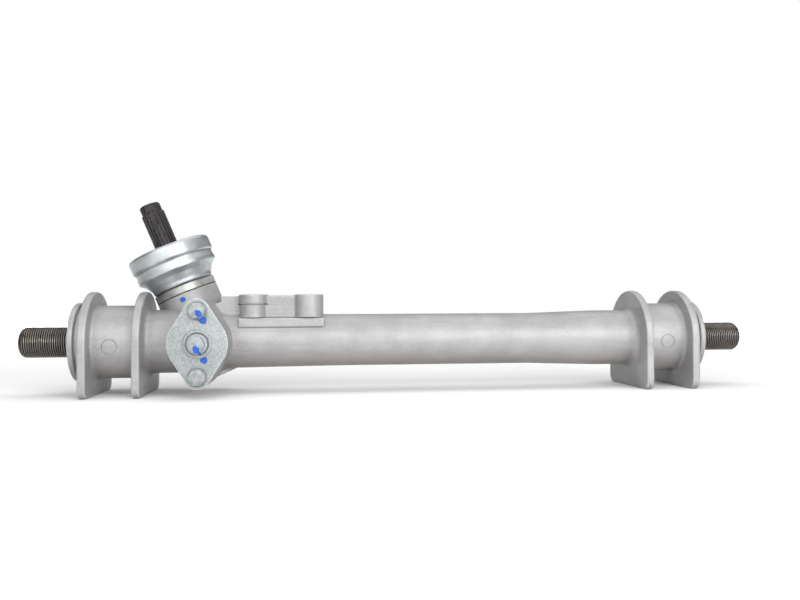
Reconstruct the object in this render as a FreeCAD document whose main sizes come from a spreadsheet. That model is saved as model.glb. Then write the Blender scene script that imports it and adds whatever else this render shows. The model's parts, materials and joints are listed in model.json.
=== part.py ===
import FreeCAD, Part
import math
import os
import Sketcher

# Manual rack-and-pinion steering gear, millimetres.
# X runs along the rack, Y points to the rear, Z points up.
# The origin is on the rack axis, midway between the two clamp seats.

Vector = FreeCAD.Vector
Rotation = FreeCAD.Rotation
Placement = FreeCAD.Placement

doc = FreeCAD.newDocument("SteeringGear")
sheet = doc.addObject("Spreadsheet::Sheet", "Dims")

DIMENSIONS = {
    # Rack bar and its teeth
    "rack_end_reach": 39,
    "rack_diameter": 24,
    "thread_diameter": 22,
    "thread_length": 38,
    "thread_end_radius": 5,
    "thread_relief": 1.2,
    "normal_module": 2,
    "pressure_angle": 20,
    "rack_gap_count": 27,
    "rack_tip_land": 1.6,
    "mesh_backlash": 0.16,
    "mesh_depth_clearance": 0.4,
    # Pinion and its axis, which leans in the plane parallel to the rack
    "pinion_inset": 89.5,
    "pinion_y": 15,
    "pinion_tilt": 22.7,
    "pinion_teeth": 6,
    "pinion_tip_radius": 9,
    "pinion_root_radius": 5.3,
    "rack_tip_reach": 5.65,
    "gear_half_length": 13,
    "gear_slices": 14,
    "lower_journal_radius": 6,
    "neck_radius": 7.4,
    "collar_radius": 9.6,
    "collar_length": 3,
    "seal_journal_radius": 8.5,
    "spline_radius": 8.5,
    "spline_root_radius": 7.6,
    "spline_count": 20,
    "spline_bottom": 57,
    "spline_top": 103.5,
    "pilot_radius": 7.6,
    "pilot_top": 110,
    "pilot_chamfer": 1,
    "clamp_flat_depth": 7.2,
    "clamp_flat_length": 17,
    "centre_drill_radius": 1.6,
    "centre_drill_depth": 5,
    # Barrel of the housing
    "housing_half_length": 232.5,
    "bead_width": 4,
    "bead_radius": 28.3,
    "bead_chamfer": 1,
    "boot_groove_radius": 25.6,
    "seat_inset": 29.8,
    "seat_width": 30,
    "seat_radius": 26.3,
    "flange_thickness": 5.7,
    "flange_radius": 36.2,
    "flange_foot": 37.85,
    "flange_corner": 6,
    "flange_edge_radius": 1,
    "flange_root_radius": 2.5,
    "left_tube_radius": 23,
    "left_tube_reach": 21,
    "mid_tube_radius": 20,
    "mid_tube_reach": 31,
    "slim_tube_radius": 19.25,
    "slim_tube_reach": 98,
    "right_tube_radius": 21,
    "right_tube_length": 71,
    "tube_flare_length": 6,
    "root_ring_radius": 24,
    "left_root_length": 2,
    "right_root_length": 4,
    "mouth_radius": 22,
    "mouth_depth": 47,
    "joint_bore_radius": 18,
    "joint_bore_depth": 69.5,
    "rack_clearance": 0.4,
    "guide_bore_reach": 25,
    "cored_bore_radius": 14,
    # Rack bush at the far end from the pinion
    "bush_setback": 38,
    "bush_length": 25,
    "bush_outer_radius": 15,
    "running_clearance": 0.05,
    "seat_clearance": 0.05,
    "ring_width": 1.2,
    "ring_groove_radius": 16.2,
    "ring_inner_radius": 13.2,
    # Pinion tower, heights along the pinion axis from the rack axis plane
    "tower_top": 38,
    "tower_radius": 19.5,
    "tower_base": -6,
    "tower_ear_base": 22,
    "cup_screw_offset": 17.3,
    "ear_radius": 5.6,
    "lower_boss_radius": 14.5,
    "lower_boss_end": -29.5,
    "lower_boss_top": 10,
    "chamber_radius": 10.4,
    "bearing_width": 8,
    "bearing_outer_radius": 14,
    "bearing_bore_radius": 8.5,
    "ball_diameter": 3.6,
    "ball_count": 7,
    "race_wall": 1.75,
    "circlip_width": 1,
    "circlip_groove_radius": 7.8,
    "circlip_outer_radius": 10.2,
    "needle_diameter": 1.5,
    "needle_count": 14,
    "needle_cup_wall": 0.6,
    "needle_cup_top": -15,
    "needle_cup_length": 10,
    # Retainer, seal and cup on the tower
    "gasket_thickness": 0.5,
    "retainer_top": 44,
    "retainer_neck_radius": 13.8,
    "retainer_neck_top": 53,
    "retainer_bore_radius": 10.8,
    "seal_radius": 12.25,
    "seal_bottom": 46.5,
    "seal_case_wall": 0.8,
    "cup_wall": 1.2,
    "cup_base_radius": 22,
    "cup_heel_radius": 22.6,
    "cup_heel_height": 47.5,
    "cup_shoulder_radius": 25.6,
    "cup_shoulder_height": 52.5,
    "cup_bulge_bottom": 55.5,
    "cup_bulge_top": 58,
    "cup_bulge_radius": 29.6,
    "cup_waist_height": 62.5,
    "cup_waist_radius": 28.7,
    "cup_rim_bottom": 65.5,
    "cup_rim_top": 70,
    "cup_rim_radius": 31.5,
    "cup_screw_radius": 2,
    "cup_screw_head_radius": 3.4,
    "cup_screw_head_height": 4,
    "cup_screw_grip": 12,
    "cup_screw_socket": 3,
    "socket_depth": 2.2,
    # Yoke, its cover and its adjuster, depths towards the front from the rack axis
    "yoke_offset": 1.5,
    "yoke_radius": 13,
    "yoke_front": 33,
    "yoke_back": 5,
    "liner_thickness": 0.8,
    "liner_half_angle": 50,
    "liner_length": 15.6,
    "o_ring_width": 2,
    "o_ring_depth": 1.4,
    "spring_well_radius": 9.5,
    "spring_well_depth": 9,
    "spring_radius": 7.4,
    "spring_wire": 2.2,
    "spring_turns": 3.5,
    "yoke_boss_front": 42.2,
    "yoke_boss_overlap": 2,
    "cover_gasket_thickness": 0.8,
    "cover_thickness": 5,
    "cover_mid_radius": 20.35,
    "cover_ear_radius": 8.4,
    "cover_bolt_offset": 22.5,
    "cover_hub_radius": 9.2,
    "cover_hub_height": 0.8,
    "adjuster_radius": 7,
    "adjuster_back": 38.5,
    "adjuster_disc_height": 1.8,
    "adjuster_hex": 10,
    "adjuster_hex_height": 6.5,
    "cover_bolt_radius": 3,
    "cover_bolt_grip": 12,
    "cover_bolt_hex": 10,
    "cover_bolt_head": 4.2,
    "cover_washer_radius": 5.8,
    "cover_washer_height": 1,
    # Bracket block on top of the tube, reaches measured from the pinion along the tube
    "block_reach": 26.5,
    "block_length": 60.7,
    "block_base": 8,
    "block_shelf": 17,
    "block_top": 34,
    "block_front": 19,
    "block_back": 6,
    "block_boss_y": -9.5,
    "left_boss_reach": 36.3,
    "left_boss_radius": 9.7,
    "left_boss_step": 27.5,
    "left_boss_lip": 0.5,
    "right_boss_reach": 76.6,
    "right_boss_radius": 10.6,
    "bridge_front": 16.5,
    "bridge_top": 33.3,
    "web_reach": 13,
    "web_half_depth": 6,
    "web_top": 33,
    "bracket_hole_radius": 3.4,
    "bracket_hole_depth": 15,
    "hole_clearance": 0.05,
}

# Places along X that follow from the sizes
PLACES = {
    "rack_length": "(2 * (housing_half_length + rack_end_reach))",
    "pinion_x": "(pinion_inset - housing_half_length)",
    "yoke_x": "(pinion_x + yoke_offset)",
    "seat_centre": "(housing_half_length - seat_inset)",
    "left_tube_end": "(pinion_x + left_tube_reach)",
    "mid_tube_start": "(pinion_x + mid_tube_reach)",
    "slim_tube_start": "(pinion_x + slim_tube_reach)",
    "right_tube_start": "(seat_centre - seat_width / 2 - flange_thickness - right_tube_length)",
    "guide_bore_end": "(pinion_x + guide_bore_reach)",
    "joint_bore_end": "(housing_half_length - joint_bore_depth)",
    "bush_start": "(joint_bore_end - bush_setback)",
    "block_left": "(pinion_x + block_reach)",
    "block_right": "(block_left + block_length)",
    "left_boss_x": "(pinion_x + left_boss_reach)",
    "right_boss_x": "(pinion_x + right_boss_reach)",
    "web_left": "(pinion_x + web_reach)",
}

for row, (alias, value) in enumerate(DIMENSIONS.items(), start=1):
    sheet.set("A%d" % row, alias)
    sheet.set("B%d" % row, str(value))
    sheet.setAlias("B%d" % row, alias)
doc.recompute()


def dim(alias):
    return float(sheet.get(alias))


# Sketch helpers. Every size is an expression of the sheet, written without its name.

def cells(expression):
    """The expression with its places worked out and each alias as a reference to its cell."""
    words = []
    word = ""
    for letter in expression + " ":
        if letter.isalnum() or letter == "_":
            word += letter
            continue
        if word in PLACES:
            words.append(cells(PLACES[word]))
        else:
            words.append("Dims." + word if word in DIMENSIONS else word)
        words.append(letter)
        word = ""
    return "".join(words).strip()


def new_body(label):
    body = doc.addObject("PartDesign::Body", label)
    body.Label = label
    return body


def origin_plane(body, role):
    for feature in body.Origin.OriginFeatures:
        if feature.Role == role:
            return feature
    raise ValueError("no origin plane " + role)


def new_sketch(body, name, role, shift=("0", "0", "0"), axis=Vector(0, 0, 1), turn="0"):
    """A sketch on an origin plane, moved by shift and turned about axis in the plane's own frame."""
    sketch = body.newObject("Sketcher::SketchObject", name)
    sketch.AttachmentSupport = [(origin_plane(body, role), "")]
    sketch.MapMode = "FlatFace"
    sketch.AttachmentOffset = Placement(Vector(0, 0, 0), Rotation(axis, 1))
    for letter, expression in zip("xyz", shift):
        sketch.setExpression("AttachmentOffset.Base." + letter, cells(expression))
    sketch.setExpression("AttachmentOffset.Rotation.Angle", cells(turn))
    return sketch


def bind(sketch, constraint, expression):
    index = sketch.addConstraint(constraint)
    sketch.setExpression("Constraints[%d]" % index, cells(expression))


def pin_point(sketch, geometry, point, across, up):
    """Holds one point of a sketch at two expressions measured from the sketch's origin."""
    place = sketch.getPoint(geometry, point)
    bind(sketch, Sketcher.Constraint("DistanceX", -1, 1, geometry, point, place.x), across)
    bind(sketch, Sketcher.Constraint("DistanceY", -1, 1, geometry, point, place.y), up)


def polygon(sketch, corners):
    """A closed outline of straight lines through the corners, each a pair of expressions."""
    count = len(corners)
    first = sketch.GeometryCount
    ring = []
    for index in range(count):
        angle = 2 * math.pi * index / count
        ring.append(Vector(40 + 9 * math.cos(angle), 40 + 9 * math.sin(angle), 0))
    for index in range(count):
        sketch.addGeometry(Part.LineSegment(ring[index], ring[(index + 1) % count]), False)
    for index in range(count):
        following = first + (index + 1) % count
        sketch.addConstraint(Sketcher.Constraint("Coincident", first + index, 2, following, 1))
    for index, (across, up) in enumerate(corners):
        pin_point(sketch, first + index, 1, across, up)


def circle(sketch, across, up, radius):
    index = sketch.addGeometry(Part.Circle(Vector(1, 1, 0), Vector(0, 0, 1), 3), False)
    pin_point(sketch, index, 3, across, up)
    bind(sketch, Sketcher.Constraint("Radius", index, 3.0), radius)


def rectangle(sketch, left, right, bottom, top):
    polygon(sketch, [(left, bottom), (right, bottom), (right, top), (left, top)])


def hexagon(sketch, across_flats, centre_x="0", centre_y="0"):
    """A hexagon with two corners on the sketch's horizontal line."""
    corners = []
    for index in range(6):
        across = "%s + (%s) / sqrt(3) * cos(%d deg)" % (centre_x, across_flats, 60 * index)
        up = "%s + (%s) / sqrt(3) * sin(%d deg)" % (centre_y, across_flats, 60 * index)
        corners.append((across, up))
    polygon(sketch, corners)


def diamond(sketch, middle, ear, offset, upright):
    """A middle circle and two ear circles joined by their tangent lines.

    middle, ear and offset name the middle radius, the ear radius and the ear's distance.
    """
    lean = math.asin((dim(middle) - dim(ear)) / dim(offset))
    side = Vector(math.cos(lean), math.sin(lean), 0)
    arcs = []
    centres = [
        (Vector(0, 0, 0), dim(middle), -lean, lean),
        (Vector(0, dim(offset), 0), dim(ear), lean, math.pi - lean),
        (Vector(0, 0, 0), dim(middle), math.pi - lean, math.pi + lean),
        (Vector(0, -dim(offset), 0), dim(ear), math.pi + lean, 2 * math.pi - lean),
    ]
    quarter = 0 if upright else math.pi / 2
    spin = Rotation(Vector(0, 0, 1), math.degrees(quarter))
    first = sketch.GeometryCount
    for centre, radius, start, end in centres:
        round_part = Part.Circle(spin.multVec(centre), Vector(0, 0, 1), radius)
        arcs.append(Part.ArcOfCircle(round_part, start + quarter, end + quarter))
    for index, arc in enumerate(arcs):
        sketch.addGeometry(arc, False)
        following = arcs[(index + 1) % 4]
        sketch.addGeometry(Part.LineSegment(arc.EndPoint, following.StartPoint), False)
    for index in range(4):
        arc = first + 2 * index
        line = arc + 1
        following = first + (2 * index + 2) % 8
        sketch.addConstraint(Sketcher.Constraint("Tangent", arc, 2, line, 1))
        sketch.addConstraint(Sketcher.Constraint("Tangent", line, 2, following, 1))
    for index in (0, 2):
        pin_point(sketch, first + 2 * index, 3, "0", "0")
        bind(sketch, Sketcher.Constraint("Radius", first + 2 * index, dim(middle)), middle)
    for index, sign in ((1, ""), (3, "-")):
        reach = sign + offset
        across, up = ("0", reach) if upright else ("-(" + reach + ")", "0")
        pin_point(sketch, first + 2 * index, 3, across, up)
        bind(sketch, Sketcher.Constraint("Radius", first + 2 * index, dim(ear)), ear)


def pad(body, name, sketch, length, both_ways=False, back=False):
    feature = body.newObject("PartDesign::Pad", name)
    feature.Profile = sketch
    feature.Length = 5
    feature.Midplane = both_ways
    feature.Reversed = back
    feature.setExpression("Length", cells(length))
    return feature


def pocket(body, name, sketch, length, both_ways=False, back=False):
    feature = body.newObject("PartDesign::Pocket", name)
    feature.Profile = sketch
    feature.Length = 5
    feature.Midplane = both_ways
    feature.Reversed = back
    feature.setExpression("Length", cells(length))
    return feature


def fillet(body, name, chosen, radius):
    """Rounds the edges of the body that chosen(edge) picks."""
    doc.recompute()
    base = body.Tip
    edges = ["Edge%d" % number for number, edge in enumerate(base.Shape.Edges, start=1) if chosen(edge)]
    feature = body.newObject("PartDesign::Fillet", name)
    feature.Base = (base, edges)
    feature.Radius = 1
    feature.setExpression("Radius", cells(radius))
    return feature


def spun(body, kind, name, sketch, axis):
    feature = body.newObject("PartDesign::" + kind, name)
    feature.Profile = sketch
    feature.ReferenceAxis = (sketch, [axis])
    feature.Angle = 360
    return feature


def revolve(body, name, sketch, axis="V_Axis"):
    return spun(body, "Revolution", name, sketch, axis)


def groove(body, name, sketch, axis="V_Axis"):
    return spun(body, "Groove", name, sketch, axis)


def polar_copies(body, name, feature, count, axis_plane="XY_Plane"):
    """Copies a feature round the normal of one of the body's origin planes."""
    pattern = body.newObject("PartDesign::PolarPattern", name)
    pattern.Originals = [feature]
    holder = body.newObject("Sketcher::SketchObject", name + "Axis")
    holder.AttachmentSupport = [(origin_plane(body, axis_plane), "")]
    holder.MapMode = "FlatFace"
    pattern.Axis = (holder, ["N_Axis"])
    pattern.Angle = 360
    pattern.Occurrences = int(dim(count))
    pattern.setExpression("Occurrences", cells(count))
    body.Tip = pattern
    return pattern


# Placements. A turned piece is drawn with its own axis as Z, then set on its axis in the gear.

def set_on_pinion_axis(piece):
    piece.Placement = Placement(Vector(0, 0, 0), Rotation(Vector(0, 1, 0), -1))
    piece.setExpression("Placement.Base.x", cells("pinion_x"))
    piece.setExpression("Placement.Base.y", cells("pinion_y"))
    piece.setExpression("Placement.Rotation.Angle", cells("-pinion_tilt"))


def set_on_yoke_axis(piece):
    """Own Z points to the front of the gear, own Y points up."""
    piece.Placement = Placement(Vector(0, 0, 0), Rotation(Vector(1, 0, 0), 90))
    piece.setExpression("Placement.Base.x", cells("yoke_x"))


def set_on_rack_axis(piece):
    piece.Placement = Placement(Vector(0, 0, 0), Rotation(Vector(0, 0, 1), 0))


def turned(label, corners, setter, axis="V_Axis"):
    """A round piece turned from one closed profile."""
    body = new_body(label)
    profile = new_sketch(body, label + "_profile", "XZ_Plane")
    polygon(profile, corners)
    revolve(body, label + "_turned", profile, axis)
    setter(body)
    return body


def helix_angle_tangent():
    return math.tan(math.radians(dim("pinion_tilt")))


# Housing

def housing_barrel(body):
    profile = new_sketch(body, "barrel_profile", "XZ_Plane")
    outer = "seat_centre + seat_width / 2"
    inner = "seat_centre - seat_width / 2"
    outside = [
        ("-housing_half_length", "0"),
        ("-housing_half_length", "bead_radius - bead_chamfer"),
        ("-housing_half_length + bead_chamfer", "bead_radius"),
        ("-housing_half_length + bead_width", "bead_radius"),
        ("-housing_half_length + bead_width", "boot_groove_radius"),
        ("-(%s)" % outer, "boot_groove_radius"),
        ("-(%s)" % outer, "seat_radius"),
        ("-(%s)" % inner, "seat_radius"),
        ("-(%s)" % inner, "root_ring_radius"),
        ("-(%s) + flange_thickness" % inner, "root_ring_radius"),
        ("-(%s) + flange_thickness + left_root_length" % inner, "left_tube_radius"),
        ("left_tube_end", "left_tube_radius"),
        ("mid_tube_start", "mid_tube_radius"),
        ("slim_tube_start", "slim_tube_radius"),
        ("right_tube_start", "slim_tube_radius"),
        ("right_tube_start + tube_flare_length", "right_tube_radius"),
        ("%s - flange_thickness - right_root_length" % inner, "right_tube_radius"),
        ("%s - flange_thickness" % inner, "root_ring_radius"),
        (inner, "root_ring_radius"),
        (inner, "seat_radius"),
        (outer, "seat_radius"),
        (outer, "boot_groove_radius"),
        ("housing_half_length - bead_width", "boot_groove_radius"),
        ("housing_half_length - bead_width", "bead_radius"),
        ("housing_half_length - bead_chamfer", "bead_radius"),
        ("housing_half_length", "bead_radius - bead_chamfer"),
        ("housing_half_length", "0"),
    ]
    polygon(profile, outside)
    revolve(body, "barrel", profile, "H_Axis")


def flange_outline(sketch):
    """Round top on the rack axis, upright sides and a flat foot with rounded corners."""
    radius = dim("flange_radius")
    foot = dim("flange_foot")
    corner = dim("flange_corner")
    up = Vector(0, 0, 1)
    first = sketch.GeometryCount
    top = Part.ArcOfCircle(Part.Circle(Vector(0, 0, 0), up, radius), 0, math.pi)
    left_corner = Part.ArcOfCircle(
        Part.Circle(Vector(corner - radius, corner - foot, 0), up, corner), math.pi, 1.5 * math.pi)
    right_corner = Part.ArcOfCircle(
        Part.Circle(Vector(radius - corner, corner - foot, 0), up, corner), 1.5 * math.pi, 2 * math.pi)
    chain = [
        top,
        Part.LineSegment(top.EndPoint, left_corner.StartPoint),
        left_corner,
        Part.LineSegment(left_corner.EndPoint, right_corner.StartPoint),
        right_corner,
        Part.LineSegment(right_corner.EndPoint, top.StartPoint),
    ]
    for edge in chain:
        sketch.addGeometry(edge, False)
    for index in range(6):
        following = first + (index + 1) % 6
        sketch.addConstraint(Sketcher.Constraint("Tangent", first + index, 2, following, 1))
    pin_point(sketch, first, 3, "0", "0")
    bind(sketch, Sketcher.Constraint("Radius", first, radius), "flange_radius")
    for index in (2, 4):
        bind(sketch, Sketcher.Constraint("Radius", first + index, corner), "flange_corner")
    for index, sign in ((2, "-"), (4, "")):
        across = "%s(flange_radius - flange_corner)" % sign
        pin_point(sketch, first + index, 3, across, "flange_corner - flange_foot")


def distances_from_rack_axis(edge):
    """Least and greatest distance of an edge from the rack axis, or None where it runs along X."""
    points = edge.discretize(9)
    if max(point.x for point in points) - min(point.x for point in points) > 0.001:
        return None
    distances = [math.hypot(point.y, point.z) for point in points]
    return min(distances), max(distances)


def on_flange_rim(edge):
    reach = distances_from_rack_axis(edge)
    return reach is not None and reach[0] > dim("flange_radius") - 0.01


def on_seat_root(edge):
    reach = distances_from_rack_axis(edge)
    return reach is not None and max(abs(distance - dim("seat_radius")) for distance in reach) < 0.01


def housing_flanges(body):
    places = {
        "flange_left_outer": "-(seat_centre + seat_width / 2) - flange_thickness",
        "flange_left_inner": "-(seat_centre - seat_width / 2)",
        "flange_right_inner": "seat_centre - seat_width / 2 - flange_thickness",
        "flange_right_outer": "seat_centre + seat_width / 2",
    }
    for name, place in places.items():
        outline = new_sketch(body, name + "_outline", "YZ_Plane", ("0", "0", place))
        flange_outline(outline)
        pad(body, name, outline, "flange_thickness")
    fillet(body, "flange_rims", on_flange_rim, "flange_edge_radius")
    fillet(body, "flange_roots", on_seat_root, "flange_root_radius")


def housing_yoke_boss(body):
    """Boss for the yoke, long enough to run into the lower pinion boss behind it."""
    back = "(pinion_y - lower_boss_radius + yoke_boss_overlap)"
    outline = new_sketch(body, "yoke_boss_outline", "XZ_Plane", ("yoke_x", "0", "-" + back))
    diamond(outline, "cover_mid_radius", "cover_ear_radius", "cover_bolt_offset", True)
    pad(body, "yoke_boss", outline, "yoke_boss_front + " + back)


def tower_sketch(body, name, height):
    """A sketch square to the pinion axis, at a height along it."""
    across = "pinion_x - (%s) * sin(pinion_tilt * 1 deg)" % height
    up = "(%s) * cos(pinion_tilt * 1 deg)" % height
    return new_sketch(body, name, "XY_Plane", (across, "pinion_y", up), Vector(0, 1, 0), "-pinion_tilt")


def housing_tower(body):
    trunk = tower_sketch(body, "tower_outline", "tower_base")
    circle(trunk, "0", "0", "tower_radius")
    pad(body, "tower", trunk, "tower_top - tower_base")
    ears = tower_sketch(body, "tower_ears_outline", "tower_ear_base")
    diamond(ears, "tower_radius", "ear_radius", "cup_screw_offset", False)
    pad(body, "tower_ears", ears, "tower_top - tower_ear_base")
    lower = tower_sketch(body, "lower_boss_outline", "lower_boss_end")
    circle(lower, "0", "0", "lower_boss_radius")
    pad(body, "lower_boss", lower, "lower_boss_top - lower_boss_end")


def housing_bracket_block(body):
    shelf = new_sketch(body, "block_shelf_outline", "XY_Plane", ("0", "0", "block_base"))
    rectangle(shelf, "block_left", "block_right", "-block_front", "block_back")
    pad(body, "block_shelf", shelf, "block_shelf - block_base")
    left = new_sketch(body, "left_boss_outline", "XY_Plane", ("0", "0", "block_base"))
    circle(left, "left_boss_x", "block_boss_y", "left_boss_radius")
    pad(body, "left_boss", left, "block_top - block_base")
    lip = new_sketch(body, "left_boss_lip_outline", "XY_Plane", ("0", "0", "left_boss_step"))
    circle(lip, "left_boss_x", "block_boss_y", "left_boss_radius + left_boss_lip")
    pad(body, "left_boss_lip", lip, "block_top - left_boss_step")
    right = new_sketch(body, "right_boss_outline", "XY_Plane", ("0", "0", "block_base"))
    circle(right, "right_boss_x", "block_boss_y", "right_boss_radius")
    pad(body, "right_boss", right, "block_top - block_base")
    bridge = new_sketch(body, "bridge_outline", "XY_Plane", ("0", "0", "block_base"))
    rectangle(bridge, "left_boss_x", "right_boss_x", "-bridge_front", "0")
    pad(body, "bridge", bridge, "bridge_top - block_base")
    web = new_sketch(body, "web_outline", "XY_Plane", ("0", "0", "block_base"))
    rectangle(web, "web_left", "left_boss_x", "-web_half_depth", "web_half_depth")
    pad(body, "web", web, "web_top - block_base")


def housing_bores(body):
    bore = new_sketch(body, "rack_bore_profile", "XZ_Plane")
    mouth = "housing_half_length - mouth_depth"
    ring_start = "bush_start + bush_length + seat_clearance"
    polygon(bore, [
        ("-housing_half_length - 1", "0"),
        ("-housing_half_length - 1", "mouth_radius"),
        ("-(%s)" % mouth, "mouth_radius"),
        ("-(%s)" % mouth, "joint_bore_radius"),
        ("-joint_bore_end", "joint_bore_radius"),
        ("-joint_bore_end", "rack_diameter / 2 + rack_clearance"),
        ("guide_bore_end", "rack_diameter / 2 + rack_clearance"),
        ("guide_bore_end", "cored_bore_radius"),
        ("bush_start", "cored_bore_radius"),
        ("bush_start", "bush_outer_radius"),
        (ring_start, "bush_outer_radius"),
        (ring_start, "ring_groove_radius"),
        ("%s + ring_width" % ring_start, "ring_groove_radius"),
        ("%s + ring_width" % ring_start, "bush_outer_radius"),
        ("joint_bore_end", "bush_outer_radius"),
        ("joint_bore_end", "joint_bore_radius"),
        (mouth, "joint_bore_radius"),
        (mouth, "mouth_radius"),
        ("housing_half_length + 1", "mouth_radius"),
        ("housing_half_length + 1", "0"),
    ])
    groove(body, "rack_bore", bore, "H_Axis")
    # Stepped pinion bore, closed at the bottom
    cup_bottom = "needle_cup_top - needle_cup_length"
    cup_seat = "lower_journal_radius + needle_diameter + needle_cup_wall"
    stepped = new_sketch(
        body, "pinion_bore_profile", "XZ_Plane", ("pinion_x", "0", "-pinion_y"), turn="pinion_tilt")
    polygon(stepped, [
        ("0", "%s - 0.5" % cup_bottom),
        (cup_seat, "%s - 0.5" % cup_bottom),
        (cup_seat, "needle_cup_top"),
        ("chamber_radius", "needle_cup_top"),
        ("chamber_radius", "tower_top - bearing_width"),
        ("bearing_outer_radius", "tower_top - bearing_width"),
        ("bearing_outer_radius", "tower_top + 1"),
        ("0", "tower_top + 1"),
    ])
    groove(body, "pinion_bore", stepped)
    well = new_sketch(body, "yoke_bore_outline", "XZ_Plane", ("yoke_x", "0", "yoke_boss_front + 1"))
    circle(well, "0", "0", "yoke_radius + running_clearance")
    pocket(body, "yoke_bore", well, "yoke_boss_front + 1")


def housing_holes(body):
    bolts = new_sketch(body, "cover_bolt_holes", "XZ_Plane", ("yoke_x", "0", "yoke_boss_front"))
    for sign in ("", "-"):
        circle(bolts, "0", sign + "cover_bolt_offset", "cover_bolt_radius + hole_clearance")
    pocket(body, "cover_bolt_drilling", bolts, "cover_bolt_grip + 1")
    screws = tower_sketch(body, "cup_screw_holes", "tower_top")
    for sign in ("", "-"):
        circle(screws, sign + "cup_screw_offset", "0", "cup_screw_radius + hole_clearance")
    pocket(body, "cup_screw_drilling", screws, "cup_screw_grip + 1")
    bracket = new_sketch(body, "bracket_holes", "XY_Plane", ("0", "0", "block_top"))
    for boss in ("left_boss_x", "right_boss_x"):
        circle(bracket, boss, "block_boss_y", "bracket_hole_radius")
    pocket(body, "bracket_drilling", bracket, "bracket_hole_depth")


def make_housing():
    body = new_body("housing")
    housing_barrel(body)
    housing_flanges(body)
    housing_yoke_boss(body)
    housing_tower(body)
    housing_bracket_block(body)
    housing_bores(body)
    housing_holes(body)
    return body


# Rack

def rounded_end(side):
    """Corners of the bar's rounded end, from the thread's crest to the end face."""
    corners = []
    for angle in (90, 67.5, 45, 22.5, 0):
        along = "%s(rack_length / 2 - thread_end_radius * (1 - cos(%s deg)))" % (side, angle)
        out = "thread_diameter / 2 - thread_end_radius * (1 - sin(%s deg))" % angle
        corners.append((along, out))
    return corners


def make_rack():
    body = new_body("rack")
    profile = new_sketch(body, "rack_profile", "XZ_Plane")
    shoulder = "rack_length / 2 - thread_length"
    polygon(profile, [
        ("-rack_length / 2", "0"),
        *reversed(rounded_end("-")),
        ("-(%s)" % shoulder, "thread_diameter / 2"),
        ("-(%s) + thread_relief" % shoulder, "rack_diameter / 2"),
        ("%s - thread_relief" % shoulder, "rack_diameter / 2"),
        (shoulder, "thread_diameter / 2"),
        *rounded_end(""),
        ("rack_length / 2", "0"),
    ])
    revolve(body, "rack_bar", profile, "H_Axis")
    # The teeth are cut into a flat on the rear of the bar, square to its axis
    pitch = "pi * normal_module"
    half_run = "(rack_gap_count - 1) / 2 * %s" % pitch
    tip = "pinion_y - rack_tip_reach"
    flat = new_sketch(body, "tooth_flat_outline", "XY_Plane")
    rectangle(
        flat,
        "pinion_x - %s - normal_module" % half_run,
        "pinion_x + %s + normal_module" % half_run,
        tip,
        "rack_diameter",
    )
    pocket(body, "tooth_flat", flat, "2 * rack_diameter", both_ways=True)
    gap = new_sketch(body, "tooth_gap_outline", "XY_Plane")
    half_mouth = "(%s - rack_tip_land) / 2" % pitch
    slope = "tan(pressure_angle * 1 deg)"
    root = "pinion_y - pinion_tip_radius - mesh_depth_clearance"
    half_root = "%s - (%s - (%s)) * %s" % (half_mouth, tip, root, slope)
    half_over = "%s + %s" % (half_mouth, slope)
    start = "pinion_x - %s" % half_run
    polygon(gap, [
        ("%s - (%s)" % (start, half_root), root),
        ("%s + %s" % (start, half_root), root),
        ("%s + %s" % (start, half_over), "%s + 1" % tip),
        ("%s - (%s)" % (start, half_over), "%s + 1" % tip),
    ])
    cut = pocket(body, "tooth_gap", gap, "2 * rack_diameter", both_ways=True)
    row = body.newObject("PartDesign::LinearPattern", "tooth_row")
    row.Originals = [cut]
    row.Direction = (gap, ["H_Axis"])
    row.Occurrences = int(dim("rack_gap_count"))
    row.setExpression("Length", cells("2 * " + half_run))
    row.setExpression("Occurrences", cells("rack_gap_count"))
    body.Tip = row
    set_on_rack_axis(body)
    return body


def make_rack_bush():
    inner = "rack_diameter / 2 + running_clearance"
    outer = "bush_outer_radius - seat_clearance"
    start = "bush_start + seat_clearance"
    end = "bush_start + bush_length"
    return turned("rack_bush", [
        (start, inner), (start, outer), (end, outer), (end, inner),
    ], set_on_rack_axis, "H_Axis")


def make_bush_ring():
    """Sprung ring that holds the bush, open at the top."""
    start = "bush_start + bush_length + 2 * seat_clearance"
    end = "bush_start + bush_length + ring_width"
    body = turned("bush_retaining_ring", [
        (start, "ring_inner_radius"),
        (start, "ring_groove_radius - seat_clearance"),
        (end, "ring_groove_radius - seat_clearance"),
        (end, "ring_inner_radius"),
    ], set_on_rack_axis, "H_Axis")
    slot = new_sketch(body, "ring_slot_outline", "YZ_Plane", ("0", "0", "bush_start"))
    rectangle(slot, "-2.5", "2.5", "0", "2 * ring_groove_radius")
    pocket(body, "ring_slot", slot, "2 * bush_length", back=True)
    return body


# Pinion

def involute_point(base_radius, roll):
    return Vector(
        base_radius * (math.cos(roll) + roll * math.sin(roll)),
        base_radius * (math.sin(roll) - roll * math.cos(roll)),
        0,
    )


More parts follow.
